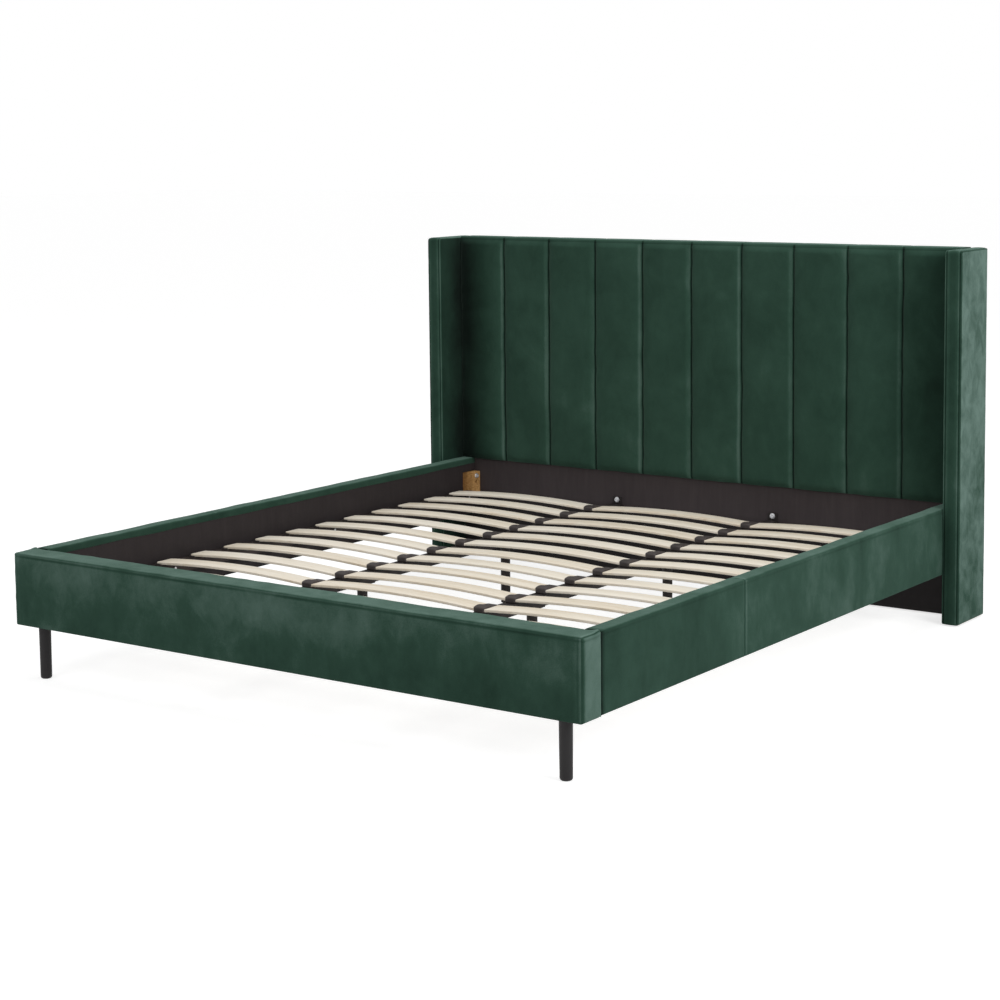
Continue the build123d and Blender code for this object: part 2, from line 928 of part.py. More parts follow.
def double_cap():
    """A double cap for the right centre rail, at y = 0: it holds the ends of two slats."""
    x = centre_rail_offset
    half = slat_width / 2 + holder_clearance + cap_wall
    top = slat_bottom + slat_thickness + cap_rim
    cap = block(x - cap_width / 2, x + cap_width / 2, -half, half, slat_seat_height, top)
    upper = cap.edges().group_by(Axis.Z)[-1]
    cap = fillet(upper, cap_edge_radius)
    cap -= slat(-slat_middle_half, slat_middle_half, 0, holder_clearance)
    cap -= slat(slat_side_inner, slat_side_outer, 0, holder_clearance)
    return cap + rod((x, 0, slat_seat_height), (0, 0, -1), cap_pin_radius, cap_pin_length)


def saddle():
    """An open holder for a slat's outer end, on the right ledger, at y = 0."""
    half = slat_width / 2 + holder_clearance + cap_wall
    outer = slat_side_outer + holder_clearance + saddle_wall
    inner = slat_side_outer - saddle_reach
    top = slat_bottom + saddle_lip
    piece = block(inner, outer, -half, half, slat_seat_height, top)
    piece -= slat(slat_side_inner, slat_side_outer, 0, holder_clearance)
    pin_start = (saddle_pin_x, 0, slat_seat_height)
    return piece + rod(pin_start, (0, 0, -1), saddle_pin_radius, cap_pin_length)


def along_rows(piece):
    """A holder repeated at every slat, on both sides of the bed."""
    pieces = []
    for y in slat_row_places:
        pieces += both_sides(Pos(0, y, 0) * piece)
    return pieces


# Centre rails, their brackets and their legs

centre_rail_front = foot_back + bracket_plate
centre_rail_back = head_board_front - bracket_plate
centre_leg_places = [foot_back + (head_board_front - foot_back) * share for share in centre_leg_shares]
centre_leg_top = centre_rail_bottom - centre_leg_plate
bolt_shank_foot = bracket_plate + foot_bolt_length
bolt_shank_head = bracket_plate + head_bolt_length


def centre_rail():
    """A steel tube along the bed, with a hole for each cap's pin."""
    x = centre_rail_offset
    half = centre_rail_width / 2
    wall = centre_rail_wall
    tube = block(
        x - half, x + half, centre_rail_front, centre_rail_back, centre_rail_bottom, slat_seat_height
    )
    tube -= block(
        x - half + wall,
        x + half - wall,
        centre_rail_front - overrun,
        centre_rail_back + overrun,
        centre_rail_bottom + wall,
        slat_seat_height - wall,
    )
    for y in slat_row_places:
        tube = drill(tube, (x, y, slat_seat_height), (0, 0, -1), cap_pin_radius, wall + overrun)
    return tube


def rail_bracket(face, inward):
    """An angle bracket under a centre rail's end: face is the board that it is bolted to."""
    x = centre_rail_offset
    half = bracket_width / 2
    shelf_top = centre_rail_bottom
    shelf_low = shelf_top - bracket_plate
    plate_end = face + inward * bracket_plate
    shelf_end = face + inward * bracket_shelf_length
    low_y, high_y = sorted((face, plate_end))
    shelf_y0, shelf_y1 = sorted((face, shelf_end))
    top = slat_seat_height + bracket_above_seat
    plate = block(x - half, x + half, low_y, high_y, shelf_low, top)
    plate = fillet(
        plate.edges().filter_by(Axis.Y).group_by(Axis.Z)[-1], bracket_edge_radius
    )
    shape = plate + block(x - half, x + half, shelf_y0, shelf_y1, shelf_low, shelf_top)
    start = (x, plate_end, bracket_bolt_height)
    return drill(shape, start, (0, -inward, 0), bolt_hole_radius, bracket_plate + overrun)


def rail_brackets():
    """The four brackets of the two centre rails."""
    foot = rail_bracket(foot_back, 1)
    head = rail_bracket(head_board_front, -1)
    return both_sides(foot) + both_sides(head)


def rail_bracket_bolts():
    """The bolts that show on the headboard's dark board, and their twins at the foot."""
    x = centre_rail_offset
    foot = bolt((x, centre_rail_front, bracket_bolt_height), (0, -1, 0), bolt_shank_foot)
    head = bolt((x, centre_rail_back, bracket_bolt_height), (0, 1, 0), bolt_shank_head)
    return both_sides(foot) + both_sides(head)


def centre_leg(y):
    """A tube under the right centre rail, with a plate at its top."""
    x = centre_rail_offset
    plate_half = centre_leg_plate_length / 2
    rail_half = centre_rail_width / 2
    plate = block(
        x - rail_half, x + rail_half, y - plate_half, y + plate_half, centre_leg_top, centre_rail_bottom
    )
    length = centre_leg_top - centre_leg_clear
    bore_radius = centre_leg_radius - centre_leg_wall
    tube = rod((x, y, centre_leg_clear), (0, 0, 1), centre_leg_radius, length)
    tube -= rod((x, y, centre_leg_clear), (0, 0, 1), bore_radius, length)
    return plate + tube


def leg_insert(y):
    """The threaded plastic plug in the lower end of a centre leg."""
    x = centre_rail_offset
    bore_radius = centre_leg_radius - centre_leg_wall
    plug = rod((x, y, centre_leg_clear), (0, 0, 1), bore_radius, insert_length)
    hole = foot_stem_radius + foot_stem_clearance
    return drill(plug, (x, y, centre_leg_clear), (0, 0, 1), hole, insert_length + overrun)


def levelling_foot(y):
    """The screw foot of a centre leg: pad, nut and stem in one piece."""
    x = centre_rail_offset
    pad = Cylinder(
        foot_pad_radius, foot_pad_height, align=(Align.CENTER, Align.CENTER, Align.MIN)
    )
    pad = fillet(pad.edges().filter_by(GeomType.CIRCLE), foot_pad_edge)
    pad = Pos(x, y, 0) * pad
    nut_height = centre_leg_clear - foot_stop_gap - foot_pad_height
    nut = extrude(
        Pos(x, y, foot_pad_height) * RegularPolygon(foot_nut_radius, foot_nut_sides), nut_height
    )
    stem = rod((x, y, foot_pad_height), (0, 0, 1), foot_stem_radius, foot_stem_length)
    return pad + nut + stem


def write_headboard():
    """Write the headboard's nodes."""
    stile = head_stile()
    save("headboard_stile_right", stile)
    save("headboard_stile_left", to_left(stile))
    for name in head_timbers():
        save("headboard_beam_" + name, head_beam(name))
    save("headboard_upper_board", head_upper_board())
    save("headboard_lower_board", head_lower_board())
    save("headboard_back_lining", head_lining())
    save("headboard_channel_pad", channel_pad())
    save("floor_glides", floor_glides())


def write_wings():
    """Write the nodes of both wings."""
    cover = wing_cover()
    save("wing_cover_right", cover)
    save("wing_cover_left", to_left(cover))
    frame = wing_frame()
    save("wing_frame_right", frame)
    save("wing_frame_left", [to_left(piece) for piece in frame])
    skins = wing_skins()
    save("wing_skins_right", skins)
    save("wing_skins_left", [to_left(piece) for piece in skins])
    bolts = wing_bolts()
    save("wing_bolts", bolts + [to_left(piece) for piece in bolts])


def write_footboard():
    """Write the footboard's nodes and the front legs."""
    save("footboard_cover", foot_cover())
    save("footboard_front_board", foot_front_board())
    save("footboard_battens", foot_battens())
    save("footboard_blocks", foot_blocks())
    save("footboard_lining", foot_inner_lining())
    front_leg = leg()
    save("front_leg_right", front_leg)
    save("front_leg_left", to_left(front_leg))
    save("leg_studs", both_sides(leg_stud()))
    save("leg_plates", both_sides(leg_plate()))
    screws = leg_screws()
    save("leg_plate_screws", screws + [to_left(piece) for piece in screws])


def write_side_rails():
    """Write the nodes of both side rails."""
    single = {
        "side_rail_cover": side_cover(),
        "side_rail_board": side_outer_board(),
        "side_rail_lining_front": side_inner_lining(side_rail_front, lining_joint),
        "side_rail_lining_rear": side_inner_lining(lining_joint, side_rail_back),
        "slat_ledger": ledger(),
    }
    for name, piece in single.items():
        save(name + "_right", piece)
        save(name + "_left", to_left(piece))
    groups = {"side_rail_battens": side_battens(), "side_rail_studs": side_studs()}
    for name, pieces in groups.items():
        save(name + "_right", pieces)
        save(name + "_left", [to_left(piece) for piece in pieces])
    screws = ledger_screws()
    save("ledger_screws", screws + [to_left(piece) for piece in screws])
    blocks = [corner_block(block_front_foot), corner_block(block_front_head)]
    save("corner_blocks", blocks + [to_left(piece) for piece in blocks])
    bolts = corner_bolts()
    save("corner_bolts", bolts + [to_left(piece) for piece in bolts])


def write_slats():
    """Write the three columns of slats and their holders."""
    right = slat_column(slat_side_inner, slat_side_outer)
    save("slats_right", right)
    save("slats_left", [to_left(piece) for piece in right])
    save("slats_middle", slat_column(-slat_middle_half, slat_middle_half))
    save("slat_double_caps", along_rows(double_cap()))
    save("slat_end_saddles", along_rows(saddle()))


def write_centre_supports():
    """Write the centre rails, their brackets, legs and levelling feet."""
    rail = centre_rail()
    save("centre_rail_right", rail)
    save("centre_rail_left", to_left(rail))
    save("rail_brackets", rail_brackets())
    save("rail_bracket_bolts", rail_bracket_bolts())
    legs = []
    inserts = []
    for y in centre_leg_places:
        legs += both_sides(centre_leg(y))
        inserts += both_sides(leg_insert(y))
    save("centre_legs", legs)
    save("centre_leg_inserts", inserts)
    for place, y in zip(("front", "rear"), centre_leg_places):
        foot = levelling_foot(y)
        save("levelling_foot_right_" + place, foot)
        save("levelling_foot_left_" + place, to_left(foot))


def main():
    """Write every node."""
    os.makedirs("parts", exist_ok=True)
    write_headboard()
    write_wings()
    write_footboard()
    write_side_rails()
    write_slats()
    write_centre_supports()


main()
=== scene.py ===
"""The looks of a velvet wing-back double bed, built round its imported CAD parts, in metres."""

import json
import math

import bmesh
import bpy
import numpy as np
from mathutils import Matrix, Vector


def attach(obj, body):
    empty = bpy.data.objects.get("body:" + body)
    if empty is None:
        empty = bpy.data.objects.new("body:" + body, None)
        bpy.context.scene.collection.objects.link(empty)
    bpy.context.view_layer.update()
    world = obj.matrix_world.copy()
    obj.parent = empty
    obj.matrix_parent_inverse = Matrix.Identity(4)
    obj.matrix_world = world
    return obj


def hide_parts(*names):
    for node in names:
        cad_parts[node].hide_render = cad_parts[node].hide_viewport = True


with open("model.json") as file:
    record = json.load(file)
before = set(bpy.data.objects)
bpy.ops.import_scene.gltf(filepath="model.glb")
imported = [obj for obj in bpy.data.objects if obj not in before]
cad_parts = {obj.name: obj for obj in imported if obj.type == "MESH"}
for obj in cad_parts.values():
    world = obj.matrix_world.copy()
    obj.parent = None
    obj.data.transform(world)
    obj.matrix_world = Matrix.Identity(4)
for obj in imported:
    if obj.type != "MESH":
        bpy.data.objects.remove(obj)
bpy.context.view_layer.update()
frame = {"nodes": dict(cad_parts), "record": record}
nodes = frame["nodes"]
MM = 0.001


# Mesh helpers

SEAM_MARKS_MM = (-6, -3, -1.4, 1.4, 3, 6)
END_MARKS = (0.12, 0.35, 0.65, 1.0, 1.5)
CORNER_MARKS = (0.2, 0.4, 0.6, 0.8, 1)
LEAST_STEP = 0.6 * MM
LEAST_SHARE_OF_STEP = 0.45
WELD_STEP = 2e-6
MERGE_DISTANCE = 0.001 * MM
TINY = 1e-12


def waves(x, y, seed, size, count=9, squeeze=1.0):
    """Smooth seeded unevenness between about -1 and 1, with features of a given size in metres."""
    rng = np.random.default_rng(seed)
    total = np.zeros(np.broadcast(x, y).shape)
    for _ in range(count):
        angle = rng.uniform(0, 2 * math.pi)
        turn = 2 * math.pi / size * rng.uniform(0.5, 1.3)
        phase = rng.uniform(0, 2 * math.pi)
        total += np.sin(turn * (math.cos(angle) * x + math.sin(angle) * y * squeeze) + phase)
    return total / math.sqrt(count) * 0.8


def rise(x, low, high):
    """A smooth rise from 0 at low to 1 at high."""
    t = np.clip((x - low) / (high - low), 0, 1)
    return t * t * (3 - 2 * t)


def bell(distance, width):
    """A smooth hill, 1 in its middle, that is low beyond its width."""
    return np.exp(-((distance / width) ** 2))


def spread(low, high, step, seams=(), ends=0.0, marks=()):
    """Places from low to high, closer together at the seams and near both ends.

    Marks that crowd each other are thinned out, and both ends always stay.
    """
    count = max(2, int(round((high - low) / step)))
    sure = [low, high, *seams, *marks]
    for seam in seams:
        sure += [seam + d * MM for d in SEAM_MARKS_MM]
    if ends:
        for share in END_MARKS:
            sure += [low + ends * share, high - ends * share]
    sure = sorted(p for p in set(sure) if low <= p <= high)
    kept = [sure[0]]
    for place in sure[1:]:
        if place - kept[-1] > LEAST_STEP:
            kept.append(place)
    kept[-1] = high
    places = list(kept)
    for place in np.linspace(low, high, count + 1):
        if min(abs(place - k) for k in kept) > step * LEAST_SHARE_OF_STEP:
            places.append(place)
    return np.array(sorted(places))


def show(name, data):
    """A new object in the scene, made of the data."""
    obj = bpy.data.objects.new(name, data)
    bpy.context.scene.collection.objects.link(obj)
    return obj


def new_object(name, vertices, faces, smooth=True):
    mesh = bpy.data.meshes.new(name)
    mesh.from_pydata([tuple(v) for v in vertices], [], [tuple(int(i) for i in f) for f in faces])
    mesh.validate()
    if smooth:
        mesh.polygons.foreach_set("use_smooth", [True] * len(mesh.polygons))
    return show(name, mesh)


def merge_points(obj):
    """Joins the points that a box's rounded corners bring together."""
    mesh = bmesh.new()
    mesh.from_mesh(obj.data)
    bmesh.ops.remove_doubles(mesh, verts=mesh.verts, dist=MERGE_DISTANCE)
    mesh.to_mesh(obj.data)
    mesh.free()


def set_attribute(obj, name, values):
    attribute = obj.data.attributes.get(name) or obj.data.attributes.new(name, "FLOAT", "POINT")
    attribute.data.foreach_set("value", np.asarray(values, np.float32))


def read(mesh, what):
    """A mesh's points ("co") or their normals ("normal")."""
    mesh.update()
    data = np.empty(len(mesh.vertices) * 3)
    mesh.vertices.foreach_get(what, data)
    return data.reshape(-1, 3)


def move_to(obj, data):
    obj.data.vertices.foreach_set("co", np.asarray(data, np.float32).ravel())
    obj.data.update()


def grid_faces(rows, columns, flip=False):
    index = np.arange(rows * columns).reshape(rows, columns)
    quads = np.stack([index[:-1, :-1], index[1:, :-1], index[1:, 1:], index[:-1, 1:]], -1)
    quads = quads.reshape(-1, 4)
    return quads[:, ::-1] if flip else quads


def weld(vertices, faces):
    """Joins the points that the sides of a box share."""
    keys = np.round(vertices / WELD_STEP).astype(np.int64)
    _, first, inverse = np.unique(keys, axis=0, return_index=True, return_inverse=True)
    return vertices[first], inverse.ravel()[faces]


def soft_prism(low, high, axis, steps, corners, edge, seams=((), (), ())):
    """A box with rounded corners in the plane across axis and softly rounded ends.

    corners gives the radius at (low a, low b), (high a, low b), (low a, high b), (high a, high b).
    Returns vertices, faces and the side of the box that each face is on: its axis times 2, plus 1 at
    the high end.
    """
    a, b = [i for i in range(3) if i != axis]
    biggest = max(corners)
    lines = []
    for i in range(3):
        marks = [low[i] + biggest * s for s in CORNER_MARKS] + [high[i] - biggest * s for s in CORNER_MARKS]
        lines.append(spread(low[i], high[i], steps[i], seams[i], edge, () if i == axis else marks))
    parts, sides = [], []
    for normal_axis in range(3):
        u, v = [i for i in range(3) if i != normal_axis]
        for end in (0, 1):
            grid = np.zeros((len(lines[u]), len(lines[v]), 3))
            grid[..., u] = lines[u][:, None]
            grid[..., v] = lines[v][None, :]
            grid[..., normal_axis] = (low, high)[end][normal_axis]
            flip = (end == 1) != (normal_axis == 1)
            faces = grid_faces(len(lines[u]), len(lines[v]), not flip)
            parts.append((grid.reshape(-1, 3), faces))
            sides.append(np.full(len(faces), normal_axis * 2 + end))
    vertices, faces = weld(*stack(parts))
    sides = np.concatenate(sides)
    middle = (low[axis] + high[axis]) / 2
    half = (high[axis] - low[axis]) / 2
    pa, pb, pc = vertices[:, a].copy(), vertices[:, b].copy(), vertices[:, axis].copy()
    out = np.minimum.reduce([pa - low[a], high[a] - pa, pb - low[b], high[b] - pb])
    inset = half - np.abs(pc - middle)
    near = (out < edge) & (inset < edge)
    d_out, d_in = out - edge, inset - edge
    length = np.hypot(d_out, d_in)
    length[length < TINY] = 1
    new_out = np.where(near, edge + d_out / length * edge, out)
    new_in = np.where(near, edge + d_in / length * edge, inset)
    pa = np.clip(pa, low[a] + new_out, high[a] - new_out)
    pb = np.clip(pb, low[b] + new_out, high[b] - new_out)
    pc = middle + np.sign(pc - middle) * (half - new_in)
    for index, radius in enumerate(corners):
        right, top = index % 2, index // 2
        ca = high[a] - radius if right else low[a] + radius
        cb = high[b] - radius if top else low[b] + radius
        da, db = pa - ca, pb - cb
        inside = ((da > 0) if right else (da < 0)) & ((db > 0) if top else (db < 0))
        far = np.maximum(np.abs(da), np.abs(db))
        round_far = np.hypot(da, db)
        round_far[round_far < TINY] = 1
        scale = np.where(inside, far / round_far, 1)
        pa, pb = ca + da * scale, cb + db * scale
    vertices[:, a], vertices[:, b], vertices[:, axis] = pa, pb, pc
    return vertices, faces, sides


def stack(meshes):
    """Several meshes, each its points and its faces, as one."""
    faces, base = [], 0
    for points, quads in meshes:
        faces.append(quads + base)
        base += len(points)
    return np.vstack([points for points, _ in meshes]), np.vstack(faces)


def tube_faces(start, rings, sides):
    """Faces between rings of points, and a flat one at each end."""
    faces = []
    for ring in range(rings - 1):
        for i in range(sides):
            a, b = start + ring * sides + i, start + ring * sides + (i + 1) % sides
            faces.append((a, b, b + sides, a + sides))
    end = start + (rings - 1) * sides
    faces.append(tuple(range(start, start + sides))[::-1])
    faces.append(tuple(range(end, end + sides)))
    return faces


def groove(distance, depth, width):
    """A sewn seam's dip, with a soft fall on both sides."""
    return -depth * bell(distance, width) - depth * 0.35 * bell(distance, width * 3.5)


def pucker(distance, along, seed, height, reach, pitch=0.02):
    """Small gathers that run off a seam."""
    ripple = waves(along, distance * 0.35, seed, pitch, 7)
    return height * ripple * np.exp(-np.abs(distance) / reach)


# Cloth simulation of the flat panels, all as islands of one sheet

CLOTH = {
    "quality": 5,
    "mass": 0.35,
    "tension_stiffness": 25,
    "compression_stiffness": 12,
    "shear_stiffness": 6,
    "bending_stiffness": 0.6,
    "tension_damping": 12,
    "compression_damping": 12,
    "shear_damping": 8,
    "bending_damping": 0.8,
    "air_damping": 3,
    "use_pressure": True,
    "uniform_pressure_force": 4.0,
    "shrink_min": -0.012,
    "vertex_group_mass": "sewn",
}
LAST_FRAME = 18
GAP_BETWEEN_PANELS = 0.3
EDGE_RISE = 0.05
CROWN_PERCENTILE = 97


class Panel:
    """A flat rectangle of fabric that is sewn down along its edges and seams."""

    def __init__(self, width, length, crown, seams=(), step=0.009):
        self.width, self.length, self.crown, self.seams = width, length, crown, seams
        self.nu = max(6, int(round(width / step))) + 1
        self.nv = max(6, int(round(length / step))) + 1
        self.u = np.linspace(0, width, self.nu)
        self.v = np.linspace(0, length, self.nv)
        for seam in seams:
            self.u[np.argmin(np.abs(self.u - seam))] = seam
        self.pinned = np.zeros((self.nu, self.nv), bool)
        self.pinned[[0, -1], :] = True
        self.pinned[:, [0, -1]] = True
        for seam in seams:
            self.pinned[np.argmin(np.abs(self.u - seam)), :] = True
        self.height = np.zeros((self.nu, self.nv))

    def at(self, u, v):
        """Height of the fabric at places on the panel."""
        u = np.clip(u, 0, self.width)
        v = np.clip(v, 0, self.length)
        i = np.clip(np.searchsorted(self.u, u, side="right") - 1, 0, self.nu - 2)
        j = np.clip(np.searchsorted(self.v, v, side="right") - 1, 0, self.nv - 2)
        s = (u - self.u[i]) / (self.u[i + 1] - self.u[i])
        t = (v - self.v[j]) / (self.v[j + 1] - self.v[j])
        h = self.height
        low = h[i, j] * (1 - s) + h[i + 1, j] * s
        high = h[i, j + 1] * (1 - s) + h[i + 1, j + 1] * s
        return low * (1 - t) + high * t


def start_height(panel):
    """A shallow crown between the sewn lines, which the simulation starts from."""
    lines = sorted([0.0, panel.width, *panel.seams])
    across = np.zeros(panel.nu)
    for low, high in zip(lines[:-1], lines[1:]):
        inside = (panel.u >= low) & (panel.u <= high)
        s = (panel.u[inside] - low) / (high - low)
        across[inside] = 1 - np.abs(2 * s - 1) ** 3
    reach = np.minimum(panel.v, panel.length - panel.v)
    along = 1 - (1 - np.clip(reach / EDGE_RISE, 0, 1)) ** 2
    return panel.crown * across[:, None] * along[None, :]


def simulate(panels):
    """Inflates all panels against their seams, and keeps each one's height."""
    parts, offset = [], 0.0
    for panel in panels:
        grid = np.zeros((panel.nu, panel.nv, 3))
        grid[..., 0] = panel.u[:, None] + offset
        grid[..., 1] = panel.v[None, :]
        grid[..., 2] = start_height(panel)
        grid[..., 2] += 0.0006 * waves(grid[..., 0], grid[..., 1], 11, 0.06) * (grid[..., 2] > 0)
        parts.append((grid.reshape(-1, 3), grid_faces(panel.nu, panel.nv)))
        offset += panel.width + GAP_BETWEEN_PANELS
    obj = new_object("cloth_sheet", *stack(parts))
    group = obj.vertex_groups.new(name="sewn")
    pinned = np.concatenate([panel.pinned.ravel() for panel in panels])
    group.add([int(i) for i in np.flatnonzero(pinned)], 1.0, "REPLACE")
    cloth = obj.modifiers.new("cloth", "CLOTH")
    for key, value in CLOTH.items():
        setattr(cloth.settings, key, value)
    cloth.settings.effector_weights.gravity = 0
    cloth.collision_settings.use_collision = False
    cloth.collision_settings.use_self_collision = False
    scene = bpy.context.scene
    cloth.point_cache.frame_start = 1
    cloth.point_cache.frame_end = LAST_FRAME
    for number in range(1, LAST_FRAME + 1):
        scene.frame_set(number)
    shaped = obj.evaluated_get(bpy.context.evaluated_depsgraph_get()).to_mesh()
    data = read(shaped, "co")
    scene.frame_set(1)
    bpy.data.objects.remove(obj)
    base = 0
    for panel in panels:
        count = panel.nu * panel.nv
        height = data[base : base + count, 2].reshape(panel.nu, panel.nv)
        top = np.percentile(height, CROWN_PERCENTILE)
        if top > 0.01 * MM:
            height = height * (panel.crown / top)
        panel.height = np.clip(height, -0.002, panel.crown * 1.12)
        base += count


# Materials


class Look:
    """The node tree of a material or a world, with short calls for the nodes that the looks use."""

    def __init__(self, name, kind=bpy.data.materials):
        self.owner = kind.new(name)
        self.owner.use_nodes = True
        self.tree = self.owner.node_tree
        self.bsdf = self.tree.nodes.get("Principled BSDF")
        self.place = self.tree.nodes.new("ShaderNodeTexCoord").outputs["Object"]

    def wire(self, source, target):
        if isinstance(source, bpy.types.NodeSocket):
            self.tree.links.new(source, target)
        else:
            target.default_value = (*source, 1) if target.type == "RGBA" else source

    def new(self, kind, inputs=(), **settings):
        """A node, with its inputs as pairs of name or number and value."""
        node = self.tree.nodes.new(kind)
        for key, value in settings.items():
            setattr(node, key, value)
        for key, value in inputs:
            self.wire(value, node.inputs[key])
        return node

    def noise(self, scale, detail=3, rough=0.5, warp=0.0, stretch=None):
        place = self.place
        if stretch:
            place = self.new("ShaderNodeMapping", (("Vector", place), ("Scale", stretch))).outputs["Vector"]
        keys = ("Vector", "Scale", "Detail", "Roughness", "Distortion")
        return self.new("ShaderNodeTexNoise", zip(keys, (place, scale, detail, rough, warp))).outputs["Fac"]

    def attribute(self, name):
        return self.new("ShaderNodeAttribute", attribute_name=name).outputs["Fac"]

    def math(self, kind, a, b=0.0, c=0.0, clamp=False):
        return self.new("ShaderNodeMath", enumerate((a, b, c)), operation=kind, use_clamp=clamp).outputs[0]

    def fit(self, value, low, high, out_low=0.0, out_high=1.0):
        keys = ("Value", "From Min", "From Max", "To Min", "To Max")
        return self.new("ShaderNodeMapRange", zip(keys, (value, low, high, out_low, out_high))).outputs["Result"]

    def ramp(self, value, *stops):
        """Stops are (place, red, green, blue), with the colours from 0 to 255."""
        node = self.new("ShaderNodeValToRGB", [("Fac", value)])
        elements = node.color_ramp.elements
        while len(elements) < len(stops):
            elements.new(0.5)
        for element, (place, *colour) in zip(elements, stops):
            element.position = place
            element.color = (*srgb(*colour), 1)
        return node.outputs["Color"]

    def total(self, *terms):
        """The sum of values, each times its weight."""
        value = 0.0
        for term, weight in terms:
            value = self.math("MULTIPLY_ADD", term, weight, value)
        return value

    def mix(self, share, a, b, kind="MIX"):
        inputs = (("Factor", share), (6, a), (7, b))
        return self.new("ShaderNodeMix", inputs, data_type="RGBA", blend_type=kind).outputs[2]

    def bump(self, *layers):
        """Layers are (height, distance in metres, strength)."""
        before = None
        for height, distance, strength in layers:
            node = self.new("ShaderNodeBump", (("Strength", strength), ("Distance", distance), ("Height", height)))
            if before is not None:
                self.wire(before, node.inputs["Normal"])
            before = node.outputs["Normal"]
        self.wire(before, self.bsdf.inputs["Normal"])

    def finish(self, colour, roughness, **direct):
        for key, value in {"Base_Color": colour, "Roughness": roughness, **direct}.items():
            self.wire(value, self.bsdf.inputs[key.replace("_", " ")])
        return self.owner


def srgb(r, g, b):
    """A colour as the shader takes it, from its 0 to 255 values."""
    return tuple(((c / 255 + 0.055) / 1.055) ** 2.4 if c > 10 else c / 255 / 12.92 for c in (r, g, b))


def velvet():
    """Short-pile velvet: brushed zones, clouds, crushed patches, fine pile and a soft sheen."""
    look = Look("velvet")
    zones = look.noise(3.6, 3, 0.55, 0.8)
    brushed = look.noise(15, 4, 0.6, 1.6, (1, 1, 0.5))
    clouds = look.noise(8, 3, 0.5, 0.6, (1, 1, 0.8))
    crushed = look.noise(24, 4, 0.55, 0.5, (1, 1, 0.8))
    pile = look.noise(2400, 2, 0.6)
    fluff = look.noise(420, 3, 0.65, 0.4)
    tone = 0.25
    layers = ((zones, 0.7, 0.13), (clouds, 0.7, 0.08), (brushed, 0.72, 0.06), (pile, 0.7, 0.08), (fluff, 0.7, 0.07))
    for layer, high, weight in layers:
        tone = look.math("MULTIPLY_ADD", look.fit(layer, 0.3, high), weight, tone)
    mottle = look.fit(crushed, 0.34, 0.66, -0.5, 0.5)
    tone = look.math("MULTIPLY_ADD", mottle, look.attribute("crush"), tone)
    # The pieces' per-point values add the pile's own tone together with painted light and shade: lighter lit faces
    # and tops, painted highlights on lips, darker seams, creases, gaps and corners.
    tone = look.math("ADD", tone, look.attribute("nap_and_painted_light"), clamp=True)
    colour = look.ramp(tone, (0.0, 13, 22, 18), (0.3, 32, 54, 44), (0.55, 49, 75, 63), (1.0, 108, 132, 123))
    rough = look.fit(tone, 0, 1, 0.9, 0.72)
    look.bump((pile, 0.0004, 0.35), (fluff, 0.0006, 0.25), (brushed, 0.0008, 0.25))
    return look.finish(
        colour, rough,
        Sheen_Weight=0.17, Sheen_Roughness=0.42, Sheen_Tint=(0.6, 0.92, 0.78), Specular_IOR_Level=0.04,
    )


def slat_wood():
    """Pale laminated birch under a clear finish, with its layers on the edges."""
    look = Look("slat_wood")
    tone = look.attribute("tone")
    shift = [(axis, look.math("MULTIPLY", tone, far)) for axis, far in ((0, 7.0), (2, 23.0))]
    moved = (look.place, look.new("ShaderNodeCombineXYZ", shift).outputs[0])
    look.place = look.new("ShaderNodeVectorMath", enumerate(moved), operation="ADD").outputs[0]
    grain = look.noise(30, 5, 0.6, 0.9, (0.55, 9, 2))
    pores = look.noise(120, 3, 0.6, 0.2, (0.18, 12, 2))
    bands = look.noise(7, 2, 0.5, 0.4, (0.3, 3, 1))
    value = look.total((look.fit(grain, 0.3, 0.72), 0.5), (look.fit(bands, 0.35, 0.65), 0.28), (tone, 0.25))
    colour = look.ramp(
        value, (0.0, 250, 244, 232), (0.45, 244, 235, 218), (0.8, 230, 216, 193), (1.0, 212, 193, 164)
    )
    dark_pores = look.fit(pores, 0.62, 0.74, 0, 0.35)
    colour = look.mix(dark_pores, colour, srgb(198, 178, 148))
    ply = look.attribute("ply")
    wave = look.math("SINE", look.math("MULTIPLY", ply, 9.5))
    layers = look.math("MULTIPLY", look.fit(wave, 0.2, 0.9, 0, 0.35), look.attribute("rim"))
    colour = look.mix(layers, colour, srgb(186, 158, 122))
    look.bump((grain, 0.0006, 0.25), (pores, 0.0003, 0.3))
    return look.finish(
        colour, look.fit(grain, 0.3, 0.7, 0.42, 0.6),
        Specular_IOR_Level=0.4, Coat_Weight=0.12, Coat_Roughness=0.35,
    )


def raw_timber():
    """Planed softwood, unfinished, with growth rings and pores."""
    look = Look("raw_timber")
    rings = look.noise(9, 3, 0.5, 1.6, (1, 1, 3))
    lines = look.math("SINE", look.math("MULTIPLY", rings, 60.0))
    fine = look.noise(260, 3, 0.6, 0.2, (0.3, 0.3, 1))
    value = look.total((look.fit(lines, -1, 1), 0.55), (fine, 0.45))
    colour = look.ramp(value, (0.0, 206, 164, 106), (0.5, 188, 142, 86), (1.0, 156, 110, 62))
    look.bump((fine, 0.0006, 0.4), (lines, 0.0004, 0.2))
    return look.finish(colour, 0.72, Specular_IOR_Level=0.3)


def fibreboard():
    """Bare fibreboard with short fibres and specks."""
    look = Look("fibreboard")
    fibres = look.noise(700, 3, 0.65, 0.8)
    patches = look.noise(14, 3, 0.5)
    value = look.total((fibres, 0.6), (patches, 0.4))
    colour = look.ramp(value, (0.3, 142, 112, 80), (0.5, 168, 136, 100), (0.7, 186, 156, 120))
    look.bump((fibres, 0.0005, 0.4))
    return look.finish(colour, 0.85, Specular_IOR_Level=0.2)


